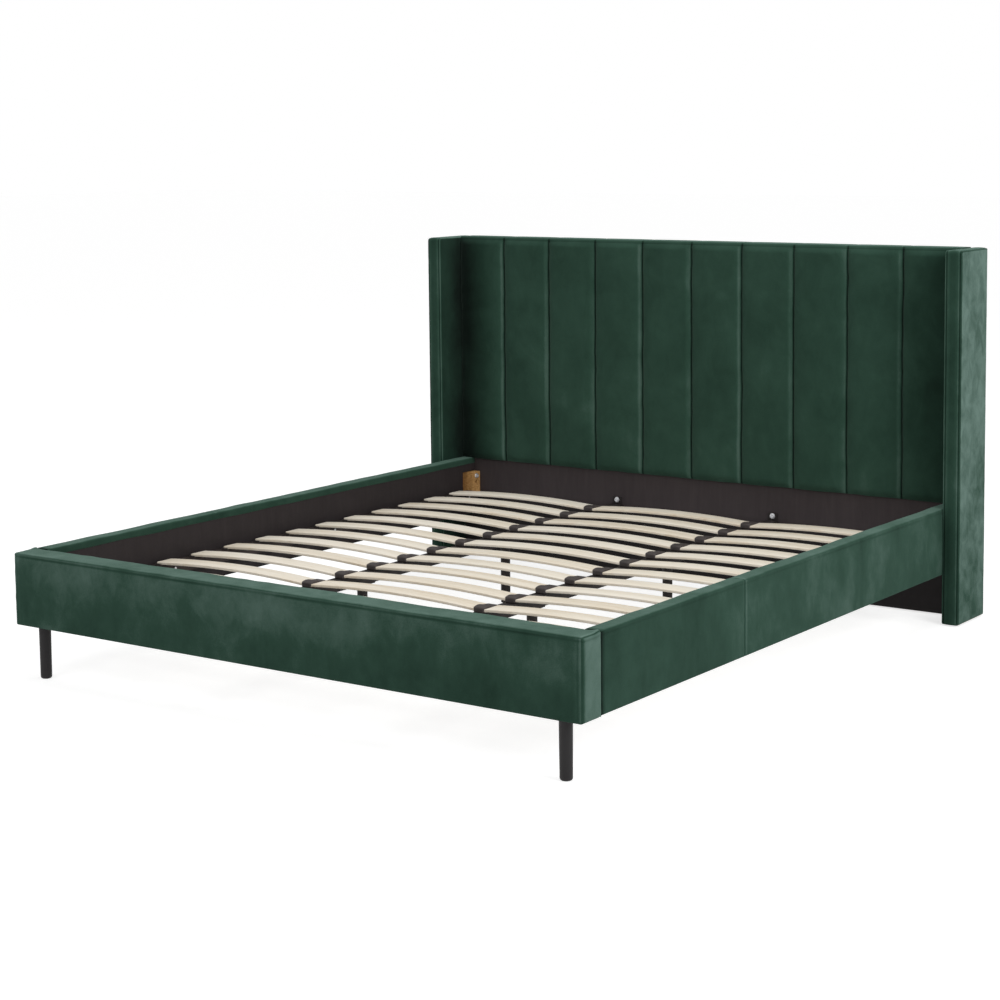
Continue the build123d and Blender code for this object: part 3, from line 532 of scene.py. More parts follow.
def dark_board(name, shade, foot_shade=1.0):
    """Board with a dark brown-black lining, faintly grained and scuffed, with painted shade near the floor; shade
    scales its tones as painted light and shade.
    """
    look = Look(name)
    grain = look.noise(46, 4, 0.6, 0.8, (1, 1, 0.12))
    fine = look.noise(900, 2, 0.6)
    scuffs = look.noise(24, 5, 0.7, 2.0)
    value = look.total((look.fit(grain, 0.3, 0.7), 0.6), (fine, 0.4))
    tones = ((0.0, 50, 44, 45), (0.5, 55, 49, 50), (1.0, 61, 54, 55))
    # shade scales the tones: above 1 it is painted light, below 1 painted shade.
    colour = look.ramp(value, *((place, *(c * shade for c in tone)) for place, *tone in tones))
    colour = look.mix(look.fit(scuffs, 0.68, 0.8, 0, 0.2), colour, srgb(84, 76, 74))
    height = look.new("ShaderNodeSeparateXYZ", [(0, look.place)]).outputs["Z"]
    # Painted shade near the floor, where the slats and rails shade the board.
    colour = look.mix(look.fit(height, 0.25, 0.2), colour, (foot_shade,) * 3, "MULTIPLY")
    look.bump((grain, 0.0003, 0.2), (fine, 0.0003, 0.4))
    return look.finish(colour, look.fit(scuffs, 0.3, 0.8, 0.72, 0.6), Specular_IOR_Level=0.22)


def dark_timber():
    """Dark stained batten whose long grain shows through."""
    look = Look("dark_timber")
    grain = look.noise(60, 4, 0.6, 0.7, (1, 0.06, 1))
    fine = look.noise(500, 2, 0.6, 0.0, (1, 0.1, 1))
    value = look.total((grain, 0.7), (fine, 0.3))
    colour = look.ramp(value, (0.25, 34, 28, 26), (0.6, 54, 45, 42), (0.85, 78, 66, 60))
    look.bump((grain, 0.0008, 0.35), (fine, 0.0003, 0.4))
    return look.finish(colour, 0.62, Specular_IOR_Level=0.3)


def back_cloth():
    """Black non-woven cloth with embossed dots, pulled over the back."""
    look = Look("back_cloth")
    cells = look.new("ShaderNodeTexVoronoi", (("Scale", 420), ("Vector", look.place)), feature="F1")
    dots = look.fit(cells.outputs["Distance"], 0.12, 0.4)
    fibres = look.noise(1400, 3, 0.7, 1.2)
    waves_of_cloth = look.noise(5, 2, 0.5, 0.8)
    value = look.total((dots, 0.4), (fibres, 0.4), (waves_of_cloth, 0.3))
    colour = look.ramp(value, (0.2, 18, 18, 19), (0.6, 34, 34, 35), (1.0, 60, 60, 61))
    look.bump((dots, 0.0003, 0.4), (fibres, 0.0002, 0.3), (waves_of_cloth, 0.004, 0.3))
    return look.finish(colour, 0.9, Specular_IOR_Level=0.15, Sheen_Weight=0.15, Sheen_Roughness=0.5)


def moulded(name, dark, light, rough):
    """Moulded plastic with a fine spark-eroded grain and a little wear."""
    look = Look(name)
    fine = look.noise(700, 3, 0.6)
    wear = look.noise(30, 4, 0.6, 1.0)
    colour = look.ramp(look.total((wear, 0.7), (fine, 0.3)), (0.3, *dark), (0.7, *light))
    look.bump((fine, 0.0002, 0.4))
    return look.finish(colour, look.fit(wear, 0.3, 0.7, rough - 0.08, rough + 0.1), Specular_IOR_Level=0.4)


def painted_steel(name, dark, light, rough, peel=320):
    """Powder-coated steel with a slight orange peel and dust on it."""
    look = Look(name)
    skin = look.noise(peel, 2, 0.5)
    dust = look.noise(18, 5, 0.65, 1.5)
    colour = look.mix(look.fit(dust, 0.5, 0.8, 0, 0.6), srgb(*dark), srgb(*light))
    look.bump((skin, 0.0003, 0.3))
    return look.finish(colour, look.fit(dust, 0.3, 0.8, rough - 0.05, rough + 0.15), Specular_IOR_Level=0.32)


def zinc():
    """Zinc-plated steel with brushed turning marks and small stains."""
    look = Look("zinc")
    marks = look.noise(900, 3, 0.6, 0.2)
    stains = look.noise(140, 4, 0.6, 1.2)
    colour = look.ramp(stains, (0.3, 204, 204, 206), (0.6, 234, 235, 238), (0.8, 244, 242, 236))
    look.bump((marks, 0.0001, 0.5))
    return look.finish(colour, look.fit(stains, 0.3, 0.7, 0.3, 0.46), Metallic=0.75)


LOOKS = {make.__name__: make() for make in (velvet, raw_timber, fibreboard, dark_timber, back_cloth, slat_wood)}
# The dark board's tones are lifted by 1.07 as painted light, and darkened near the floor as painted shade.
LOOKS["dark_board"] = dark_board("dark_board", 1.07, 0.25)
LOOKS["cap_plastic"] = moulded("cap_plastic", (52, 46, 45), (74, 67, 65), 0.6)
LOOKS["black_plastic"] = moulded("black_plastic", (24, 24, 25), (40, 40, 41), 0.5)
LOOKS["black_steel"] = painted_steel("black_steel", (33, 28, 27), (48, 42, 40), 0.6)
LOOKS["black_leg"] = painted_steel("black_leg", (30, 28, 29), (42, 39, 40), 0.5, 500)
LOOKS["zinc_bolt"] = zinc()
for entry in frame["record"]["subparts"]:
    obj = nodes[entry["node"]]
    obj.data.materials.clear()
    obj.data.materials.append(LOOKS[entry["material_slot"]])
# A darker copy of the dark board for the side linings: painted shade.
side_lining = dark_board("side_lining", 0.87)
for name, obj in nodes.items():
    if name.startswith("side_rail_lining"):
        obj.data.materials[0] = side_lining


def dress(obj, slot, *replaced, fill=None, body="bed"):
    """Gives a piece its material and its place in the frame."""
    obj.data.materials.clear()
    obj.data.materials.append(LOOKS[slot])
    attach(obj, body)
    if replaced:
        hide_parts(*replaced)


# Velvet covers

HALF_WIDTH = 0.949
CHANNELS = 10
PITCH = 2 * HALF_WIDTH / CHANNELS
PAD_FRONT, PAD_BACK, PAD_BOTTOM, PAD_TOP = 1.024, 1.0977, 0.3572, 1.1468
PAD_HEM = 1.1385
WING_INNER, WING_OUTER, WING_FRONT, WING_BOTTOM = 0.9495, 1.007, 0.902, 0.004
WING_SEAMS = (0.9568, 1.0)
RAIL_END = 1.0148
RAIL_SEAM = -0.327
RAIL_CREASE = 0.349
FOOT_HALF, FOOT_BOTTOM = 0.953, 0.152
CAP_SEAM = 0.9500
TOP_CREASE = 0.3475
LEG_X, LEG_Y = 0.878, -1.0575
CLOTH_DEPTH = 0.0014

pad_panel = Panel(2 * HALF_WIDTH, 0.895, 0.018, [PITCH * k for k in range(1, CHANNELS)], 0.0079)
wing_outer_panel = Panel(0.196, 1.141, 0.0012)
wing_inner_panel = Panel(0.196, 1.141, 0.0014)
rail_panel = Panel(2.047, 0.2, 0.0018, [RAIL_END + RAIL_SEAM], 0.01)
foot_panel = Panel(1.906, 0.203, 0.0026, step=0.01)
panels = [pad_panel, wing_outer_panel, wing_inner_panel, rail_panel, foot_panel]
simulate(panels)


ARC_POINTS, FINE_PARTS = 9, 4


def path(points, radii, step, fine):
    """A rounded polyline: its points, the outward direction at each, and the length so far.

    Between the two heights in fine, its points lie FINE_PARTS times as close.
    """
    points = [np.array(p, float) for p in points]
    out = [points[0]]
    for before, corner, after, radius in zip(points[:-2], points[1:-1], points[2:], radii):
        a = (before - corner) / np.linalg.norm(before - corner)
        b = (after - corner) / np.linalg.norm(after - corner)
        half = math.acos(np.clip(a @ b, -1, 1)) / 2
        reach = radius / math.tan(half)
        centre = corner + (a + b) / np.linalg.norm(a + b) * radius / math.sin(half)
        start, end = corner + a * reach, corner + b * reach
        s, e = start - centre, end - centre
        turn = math.atan2(s[0] * e[1] - s[1] * e[0], s @ e)
        for share in np.linspace(0, 1, ARC_POINTS):
            t = turn * share
            c, d = math.cos(t), math.sin(t)
            out.append(centre + np.array([s[0] * c - s[1] * d, s[0] * d + s[1] * c]))
    out.append(points[-1])
    dense = [out[0]]
    for p, q in zip(out[:-1], out[1:]):
        count = max(1, int(math.ceil(np.linalg.norm(q - p) / step)))
        for k in range(count):
            start, end = p + (q - p) * k / count, p + (q - p) * (k + 1) / count
            close = fine[0] < (start[1] + end[1]) / 2 < fine[1] and count > 1
            parts = FINE_PARTS if close else 1
            for part in range(1, parts + 1):
                dense.append(start + (end - start) * part / parts)
    dense = np.array(dense)
    along = np.gradient(dense, axis=0)
    along /= np.linalg.norm(along, axis=1)[:, None]
    outward = np.stack([-along[:, 1], along[:, 0]], 1)
    length = np.concatenate([[0], np.cumsum(np.linalg.norm(np.diff(dense, axis=0), axis=1))])
    return dense, outward, length


def channel_pad():
    """The headboard's padding: ten sewn channels that turn over the top edge."""
    step = 0.0072
    corners = [(1.0315, PAD_BOTTOM), (PAD_FRONT, PAD_BOTTOM), (PAD_FRONT, PAD_TOP), (PAD_BACK, PAD_TOP)]
    corners.append((PAD_BACK, 1.1372))
    line, outward, length = path(corners, (0.003, 0.006, 0.003), step, (1.115, PAD_TOP - MM))
    seams = [-HALF_WIDTH + PITCH * k for k in range(1, CHANNELS)]
    x = spread(-HALF_WIDTH, HALF_WIDTH, step, seams, 0.006)
    gx, gv = np.meshgrid(x, length, indexing="ij")
    y = np.broadcast_to(line[None, :, 0], gx.shape).copy()
    z = np.broadcast_to(line[None, :, 1], gx.shape).copy()
    share = (gx + HALF_WIDTH) / PITCH
    index = np.clip(np.floor(share + 1e-9), 0, CHANNELS - 1)
    across = np.clip(share - index, 0, 1)
    shape = 1 - np.abs(2 * across - 1) ** 5
    bottom = 1 - (1 - np.clip((gv - 0.006) / 0.02, 0, 1)) ** 2
    over = rise(z + (y - PAD_FRONT) * 0.6, 1.120, 1.150)
    crown = 0.0172 * (1 - 0.97 * over) * bottom
    simulated = pad_panel.at(gx + HALF_WIDTH, gv) / pad_panel.crown
    uneven = 1 + 0.05 * waves(index * 0.37, z, 5, 0.5)
    bulge = crown * (0.75 * shape + 0.25 * np.minimum(simulated, shape * 1.2)) * uneven
    edge = np.minimum(across, 1 - across) * PITCH
    seam_number = np.round(share)
    outer_seam = (seam_number > 0.5) & (seam_number < CHANNELS - 0.5)
    gathers = pucker(edge, z + seam_number * 1.7, 21, 0.0011, 0.012, 0.03)
    gathers += pucker(edge, z + seam_number * 2.9, 22, 0.0016, 0.03, 0.11)
    bulge += gathers * bottom * (1 - 0.8 * over) * np.clip(edge / 0.003, 0, 1)
    bulge += groove(edge, 0.0019, 0.0018) * outer_seam * (1 - 0.9 * over) * np.clip(gv / 0.009 - 1, 0, 1)
    front = np.broadcast_to(rise(-outward[None, :, 0], 0.5, 0.9), gx.shape)
    hem = front * bell(z - PAD_HEM, 0.0016)
    bulge -= 0.0008 * hem
    soft = 0.0012 * waves(gx, z, 31, 0.22) + 0.0006 * waves(gx, z, 32, 0.09)
    bulge += soft * shape * (1 - over)
    wander = 0.0013 * waves(seam_number * 3.1, z, 41, 0.33) * bell(edge, 0.03) * outer_seam
    grid = np.zeros((*gx.shape, 3))
    grid[..., 0] = gx + wander
    grid[..., 1] = y + outward[None, :, 0] * bulge
    grid[..., 2] = z + outward[None, :, 1] * bulge
    obj = new_object("channel_pad_velvet", grid.reshape(-1, 3), grid_faces(*gx.shape, flip=True))
    # Painted shade: the sewn seams' grooves are darkened, less so at the top edge.
    nap_and_painted_light = -0.6 * bell(edge, 0.0032) * (1 - 0.5 * rise(z, 1.136, 1.146)) * outer_seam
    nap_and_painted_light += 0.03 * waves(gx, z, 51, 0.5) + 0.02 * waves(index * 0.61, z * 0.3, 52, 0.4)
    # Painted highlight on each channel's right shoulder, and painted light on the turned-over top.
    nap_and_painted_light += 0.2 * bell(across - 0.952, 0.03) * (1 - over) + 0.03
    nap_and_painted_light += 0.12 * rise(np.broadcast_to(outward[None, :, 1], gx.shape), 0.7, 1.0) * over
    # Painted shade along the dip of the top hem.
    nap_and_painted_light -= 0.14 * hem
    # Painted shade on the channels next to the wings, deepest by the left wing.
    left, right = gx + HALF_WIDTH, HALF_WIDTH - gx
    nap_and_painted_light -= (0.56 * bell(left, 0.12) + 0.22 * bell(right, 0.18)) * (1 - 0.5 * over)
    set_attribute(obj, "nap_and_painted_light", nap_and_painted_light.ravel())
    dress(thicken(obj), "velvet", "headboard_channel_pad", fill=0.7)


def thicken(obj):
    """Gives an open cover the thickness of its cloth and backing, inwards, so that its mesh is closed."""
    modifier = obj.modifiers.new("cloth", "SOLIDIFY")
    modifier.thickness = CLOTH_DEPTH
    modifier.offset = -1
    graph = bpy.context.evaluated_depsgraph_get()
    closed = bpy.data.meshes.new_from_object(
        obj.evaluated_get(graph), preserve_all_data_layers=True, depsgraph=graph
    )
    obj.modifiers.clear()
    obj.data = closed
    return obj


def prism_piece(name, low, high, axis, steps, corners, edge, seams, shape, keep=None, mirror=False):
    """A velvet-covered box, and its mirrored twin or None.

    keep(centres, sides) tells which faces stay. shape(points, normals) gives how far each point moves
    out, a shift of it, its values of pile tone with painted light and shade, and its values of crush.
    """
    vertices, faces, sides = soft_prism(low, high, axis, steps, corners, edge, seams)
    if keep is not None:
        faces = faces[keep(vertices[faces].mean(1), sides)]
        used, places = np.unique(faces, return_inverse=True)
        vertices, faces = vertices[used], places.reshape(faces.shape)
    obj = new_object(name, vertices, faces)
    merge_points(obj)
    points, out = read(obj.data, "co"), read(obj.data, "normal")
    offset, shift, nap_and_painted_light, crush = shape(points, out)
    move_to(obj, points + out * offset[:, None] + shift)
    set_attribute(obj, "nap_and_painted_light", nap_and_painted_light)
    set_attribute(obj, "crush", crush)
    if mirror:
        data = obj.data.copy()
        data.transform(Matrix.Scale(-1, 4, (1, 0, 0)))
        data.flip_normals()
        return obj, show(name.replace("right", "left"), data)
    return obj, None


def wing_shape(points, out):
    """Soft panels, a boxed front band with two sewn lines, and crushed pile on the outside."""
    x, y, z = points.T
    flat = np.abs(out[:, 0]) > 0.9
    front = rise(-out[:, 1], 0.4, 0.9)
    top = rise(out[:, 2], 0.4, 0.9)
    outer = out[:, 0] > 0
    height = np.where(
        outer,
        wing_outer_panel.at(y - WING_FRONT, z - WING_BOTTOM),
        wing_inner_panel.at(y - WING_FRONT, z - WING_BOTTOM),
    )
    offset = np.where(flat, height, 0)
    offset += 0.0003 * waves(y, z, 61, 0.16) * flat + 0.00015 * waves(y, z, 62, 0.05) * flat
    band = np.maximum(front, top)
    middle = (WING_INNER + WING_OUTER) / 2
    offset += band * 0.0014 * np.clip(1 - (np.abs(x - middle) / 0.019) ** 2, 0, 1)
    # Painted shade: the front band is a little darker than the sides.
    nap_and_painted_light = 0.04 * waves(y, z, 66, 0.3) - 0.04 * front
    for seam, seed in zip(WING_SEAMS, (63, 64)):
        d = x - seam
        lip = bell(np.abs(d) - 0.0042, 0.0021)
        offset += band * (groove(d, 0.0012, 0.0013) + 0.0008 * lip)
        offset += band * pucker(d, z + y, seed, 0.0004, 0.006, 0.024) * np.clip(np.abs(d) / 0.002, 0, 1)
        outermost = (d > MM) * (seam > 0.98)
        # Painted highlights on the raised lips beside each sewn line, brighter on the outermost, and painted shade
        # in the seam itself.
        nap_and_painted_light += band * (0.26 * lip * (1 + 0.6 * outermost) - 0.3 * bell(d, 0.0018))
    ends = np.minimum(x - WING_INNER, WING_OUTER - x)
    offset += band * pucker(ends, z + y, 65, 0.0004, 0.008, 0.05)
    # Painted shade where the outer face turns round the front and top corners.
    corner = rise(out[:, 0], 0.45, 0.75) * (1 - rise(out[:, 0], 0.88, 0.98))
    nap_and_painted_light -= 0.25 * corner * rise(-out[:, 1] + out[:, 2], 0.1, 0.4)
    # The outer face is lighter, partly the pile's direction and partly painted light, which grows towards the top;
    # the inner face is darker, partly the pile's direction and partly painted shade, deepest towards the back by
    # the headboard.
    high = rise(z, 0.15, 0.75)
    nap_and_painted_light += np.where(outer & flat, 0.25 + 0.14 * high + 0.05 * waves(y, z * 0.3, 67, 0.1), 0)
    nap_and_painted_light += np.where(~outer & flat, -0.2 - 0.24 * rise(y, 0.93, 1.01), 0)
    # Painted light on the top.
    nap_and_painted_light += 0.12 * top
    # Painted shadow of the rail on the front band below the rail's height.
    nap_and_painted_light -= 0.12 * front * (1 - rise(z, 0.3, 0.42)) * (1 - rise(x, 0.962, 0.985))
    crush = np.where(outer & flat, 0.24, 0.05)
    shift = np.zeros_like(points)
    back_edge = (y > 1.085) & (x < 0.9575)
    shift[:, 0] = np.where(back_edge, -0.85 * (x - 0.9492) * rise(y, 1.085, 1.0955), 0)
    return offset, shift, nap_and_painted_light, crush


def wings():
    """Both wings' velvet, from the floor glides to the top."""
    low, high = (0.9492, WING_FRONT, WING_BOTTOM), (1.0055, 1.0978, 1.1465)
    right, left = prism_piece(
        "wing_right_velvet", low, high, 0, (0.007, 0.009, 0.0095), (0.002, 0.002, 0.010, 0.004), 0.007,
        (WING_SEAMS, (), ()), wing_shape, mirror=True,
    )
    dress(right, "velvet", "wing_cover_right", fill=0.85)
    dress(left, "velvet", "wing_cover_left", fill=0.85)


def foot_shape(points, out):
    """A padded front, sewn end caps, a soft top strip and a stapled fold inside."""
    x, y, z = points.T
    front = rise(-out[:, 1], 0.75, 0.97)
    top = rise(out[:, 2], 0.5, 0.95)
    end = rise(np.abs(out[:, 0]), 0.6, 0.95)
    inner = out[:, 1] > 0.6
    offset = front * foot_panel.at(x + FOOT_HALF, z - FOOT_BOTTOM)
    offset += front * (0.0006 * waves(x, z, 71, 0.3) + 0.0003 * waves(x, z, 72, 0.1))
    offset += top * (0.0008 * waves(x, y, 73, 0.24) + 0.0004 * waves(x, y, 74, 0.07))
    offset += end * 0.0014 * np.clip(1 - ((y + 1.0567) / 0.036) ** 2, 0, 1)
    offset += end * 0.0004 * waves(y, z, 75, 0.06)
    cap_edge = np.abs(x) - CAP_SEAM
    across = (front + top).clip(0, 1)
    seam = bell(cap_edge, 0.0016)
    lip = bell(cap_edge + 0.0045, 0.0022)
    offset += across * (0.0007 * lip - 0.0014 * seam)
    offset += front * pucker(cap_edge, z, 76, 0.0006, 0.012, 0.03) * np.clip(np.abs(cap_edge) / 0.002, 0, 1)
    strip = bell(z - TOP_CREASE, 0.0028) * (1 - top)
    offset -= 0.0008 * strip * front
    shift = np.zeros_like(points)
    shift[:, 2] += np.where(inner & (z < 0.336), 0.0012 * waves(x, x * 0, 77, 0.12), 0)
    shift[:, 1] += np.where(inner & (z < 0.3312), -0.0018, 0)
    tuck = np.exp(-(((np.abs(x) - 0.945) / 0.012) ** 2) - ((y + 1.024) / 0.012) ** 2)
    shift[:, 2] += 0.003 * tuck * (z > 0.335)
    # Painted light: the front is lighter towards the top and the top strip lighter still; the front is also lighter
    # towards the left end.
    nap_and_painted_light = 0.04 * waves(x, z, 78, 0.35) + 0.12 * rise(z, 0.18, 0.32)
    nap_and_painted_light = front * (nap_and_painted_light + 0.05 * (1 - rise(x, 0.2, 0.8))) + 0.23 * top
    # The end caps are lighter, partly the pile's direction and partly painted light; painted highlights on the lips
    # and painted shade in the cap seams.
    nap_and_painted_light += 0.33 * end + across * (0.22 * lip - 0.35 * seam)
    # A thin painted highlight on the front, just inside each cap seam.
    nap_and_painted_light += 0.06 * front * bell(cap_edge + 0.0165, 0.003)
    # Painted shade where each end cap rounds to the front, and a painted highlight line near its back edge.
    nap_and_painted_light += end * (0.3 * bell(y + 1.0185, 0.0025) - 0.4 * bell(y + 1.098, 0.0075))
    # Painted shade in the crease under the top strip.
    nap_and_painted_light -= strip * (0.17 + 0.08 * waves(x, x * 0, 79, 0.21))
    return offset, shift, nap_and_painted_light, np.full(len(points), 0.07)


def footboard():
    """The footboard's velvet, open inside where its board is, and cut out round the legs' plates."""
    low, high = (-FOOT_HALF, -1.098, FOOT_BOTTOM), (FOOT_HALF, -1.0155, 0.3575)
    plate_half_x, plate_half_y = 0.0352, 0.0252

    def keep(centres, sides):
        inner = (sides == 3) & (centres[:, 2] < 0.3305)
        under = (sides == 4) & (centres[:, 1] > -1.027)
        plates = (sides == 4) & (np.abs(np.abs(centres[:, 0]) - LEG_X) < plate_half_x)
        plates &= np.abs(centres[:, 1] - LEG_Y) < plate_half_y
        return ~(inner | under | plates)

    obj, _ = prism_piece(
        "footboard_velvet", low, high, 0, (0.0095, 0.007, 0.008), (0.003, 0.002, 0.006, 0.006), 0.009,
        ((-CAP_SEAM, CAP_SEAM, -0.913, -0.843, 0.843, 0.913), (-1.0825, -1.0325, -1.0267), (0.332, TOP_CREASE)),
        foot_shape, keep,
    )
    dress(thicken(obj), "velvet", "footboard_cover", fill=0.8)


def rail_shape(points, out):
    """A padded outer face with one sewn joint and a crease, and a fold down the inside."""
    x, y, z = points.T
    outer = rise(out[:, 0], 0.7, 0.97)
    top = rise(out[:, 2], 0.5, 0.95)
    inner = out[:, 0] < -0.6
    offset = outer * rail_panel.at(y + RAIL_END, z - 0.155)
    offset += outer * (0.0005 * waves(y, z, 81, 0.28) + 0.0002 * waves(y, z, 82, 0.1, squeeze=0.5))
    offset += top * (0.0008 * waves(y, x, 83, 0.26) + 0.0004 * waves(y, x, 84, 0.08))
    across = outer + top
    seam = y - RAIL_SEAM
    offset += across * (groove(seam, 0.0014, 0.0018) + pucker(seam, z + x, 85, 0.0006, 0.014, 0.03))
    crease = y - RAIL_CREASE - 0.006 * waves(z, z * 0, 86, 0.2)
    offset -= outer * 0.0008 * bell(crease, 0.008)
    offset += outer * 0.0003 * waves(y, z * 0.2, 87, 0.06) * rise(np.abs(z - 0.255), 0.05, 0.09)
    shift = np.zeros_like(points)
    shift[:, 2] += np.where(inner & (z < 0.342), 0.0016 * waves(y, y * 0, 88, 0.16), 0)
    shift[:, 0] += np.where(inner & (z < 0.3372), 0.0018, 0)
    # Lighter from the front end towards the middle, and painted light on the top strip.
    step = 0.1 * rise(y, -0.75, -0.1) - 0.02 * rise(y, 0.2, 0.6)
    nap_and_painted_light = outer * (0.03 * waves(y, z, 89, 0.4) + 0.03 * waves(y, z * 0.3, 90, 0.12) - 0.02 + step) + 0.2 * top
    # Painted highlight beside the sewn joint and painted shade in it; painted shade in the crease.
    nap_and_painted_light += (0.14 * bell(seam - 0.006, 0.003) - 0.16 * bell(seam, 0.003)) * across
    nap_and_painted_light -= 0.05 * outer * bell(crease, 0.006)
    # Painted shade in the gap at the front end, where the rail meets the footboard.
    nap_and_painted_light -= 0.4 * across * bell(y + 1.0115, 0.007)
    # Painted shade in the crease under the top strip.
    nap_and_painted_light -= (0.08 + 0.05 * waves(y, y * 0, 91, 0.23)) * bell(z - TOP_CREASE, 0.0028) * outer
    return offset, shift, nap_and_painted_light, np.full(len(points), 0.05)


def rails():
    """Both side rails' velvet, open inside and at the ends, which other pieces hide."""
    low, high = (0.903, -RAIL_END, 0.155), (HALF_WIDTH, 1.0318, 0.3583)

    def keep(centres, sides):
        inner = (sides == 0) & (centres[:, 2] < 0.3365)
        ends = (sides == 2) | (sides == 3)
        under = (sides == 4) & (centres[:, 0] < 0.9088)
        return ~(inner | ends | under)

    right, left = prism_piece(
        "side_rail_right_velvet", low, high, 1, (0.006, 0.0095, 0.008), (0.002, 0.0025, 0.006, 0.006), 0.003,
        ((0.909,), (RAIL_SEAM,), (0.338, TOP_CREASE)), rail_shape, keep, mirror=True,
    )
    dress(thicken(right), "velvet", "side_rail_cover_right", fill=0.8)
    dress(thicken(left), "velvet", "side_rail_cover_left", fill=0.8)


channel_pad()
wings()
footboard()
rails()


# Slats

SLAT_ROWS = 13
SLAT_FIRST, SLAT_LAST = 0.878, -0.863
SLAT_STEP = (SLAT_FIRST - SLAT_LAST) / (SLAT_ROWS - 1)
SLAT_HALF_WIDTH, SLAT_HALF_HEIGHT = 0.0325, 0.004
SLAT_CORNER, SLAT_EDGE = 0.005, 0.0021
SLAT_BASE, SLAT_RISE = 0.246, 0.012
SLAT_GRID_COUNT = 29
CENTRE_RAIL_X = 0.3


def slat_profile():
    """The rounded section of a slat, as places across it and above its middle."""
    points = []
    for cx, cz, start in ((1, 1, 0), (-1, 1, 90), (-1, -1, 180), (1, -1, 270)):
        for turn in (0, 30, 60, 90):
            a = math.radians(start + turn)
            across = cx * (SLAT_HALF_WIDTH - SLAT_EDGE) + math.cos(a) * SLAT_EDGE
            points.append((across, cz * (SLAT_HALF_HEIGHT - SLAT_EDGE) + math.sin(a) * SLAT_EDGE))
        if cx * cz > 0:
            points.append((0.0, cz * (SLAT_HALF_HEIGHT + 0.0001)))
    return np.array(points)


def slat_column(name, low_x, high_x, node, seed):
    """Thirteen bowed slats with rounded corners as one piece, each with its own tone."""
    rng = np.random.default_rng(seed)
    section = slat_profile()
    half = (high_x - low_x) / 2
    middle = (low_x + high_x) / 2
    radius = (half**2 + SLAT_RISE**2) / (2 * SLAT_RISE)
    limit = math.asin(half / radius)
    ends = [1 - d / half for d in (0.005, 0.003, 0.0014, 0.0004, 0.0)]
    places = [-share for share in ends[::-1]] + list(np.linspace(-0.96, 0.96, SLAT_GRID_COUNT)) + ends
    vertices, faces, tones, plies, rims = [], [], [], [], []
    for row in range(SLAT_ROWS):
        y = SLAT_FIRST - row * SLAT_STEP
        start = len(vertices)
        tone = rng.uniform(0, 1)
        for k, share in enumerate(places):
            last = k in (0, len(places) - 1)
            to_corner = max(SLAT_CORNER - (1 - abs(share)) * half, 0)
            inset = SLAT_CORNER - math.sqrt(max(SLAT_CORNER**2 - to_corner**2, 0))
            narrow = 1 - inset / SLAT_HALF_WIDTH
            for across, up in section:
                r = radius + SLAT_HALF_HEIGHT + up * (0.8 if last else 1)
                angle = limit * share
                height = SLAT_BASE + SLAT_RISE - radius + r * math.cos(angle)
                vertices.append((middle + r * math.sin(angle), y + across * narrow, height))
                tones.append(tone)
                plies.append(up / SLAT_HALF_HEIGHT * 1.05)
                rims.append(1.0 if abs(across) > SLAT_HALF_WIDTH - MM or last else 0.0)
        faces += tube_faces(start, len(places), len(section))
    obj = new_object(name, vertices, faces, False)
    obj.data.polygons.foreach_set("use_smooth", [len(p.vertices) == 4 for p in obj.data.polygons])
    for key, values in (("tone", tones), ("ply", plies), ("rim", rims)):
        set_attribute(obj, key, values)
    dress(obj, "slat_wood", node)


def slat_caps():
    """The moulded double caps between the slats: rounded hoods that fall away towards the back."""
    parts = []
    reach, half_width = 0.0353, 0.019
    for rail in (-CENTRE_RAIL_X, CENTRE_RAIL_X):
        for row in range(SLAT_ROWS):
            y = SLAT_FIRST - row * SLAT_STEP
            low, high = (rail - half_width, y - reach, 0.2433), (rail + half_width, y + reach, 0.2572)
            corners = (0.008, 0.008, 0.006, 0.006)
            points, faces, _ = soft_prism(low, high, 2, (0.0045, 0.005, 0.004), corners, 0.0035)
            along = (y - points[:, 1]) / reach
            across = (points[:, 0] - rail) / half_width
            lifted = rise(points[:, 2], 0.247, 0.2565)
            hump = bell(along - 0.42, 0.5) * (1 - 0.35 * across**2)
            split = bell(across, 0.09) * (np.abs(along) < 0.8)
            points[:, 2] += lifted * (0.0062 * hump - 0.0006 * split - 0.0012 * rise(-along, 0.2, 1))
            parts.append((points, faces))
    obj = new_object("slat_cap_hoods", *stack(parts))
    merge_points(obj)
    dress(obj, "cap_plastic", "slat_double_caps")


slat_column("slat_column_left", -0.884, -0.303, "slats_left", 3)
slat_column("slat_column_middle", -0.297, 0.297, "slats_middle", 4)
slat_column("slat_column_right", 0.303, 0.884, "slats_right", 5)
slat_caps()


# Front legs

LEG_FOOT_RADIUS, LEG_TOP_RADIUS, LEG_TOP = 0.016, 0.017, 0.1518
LEG_SIDES = 48
LEG_ROUNDING, LEG_TOP_EDGE = 0.007, 0.0008


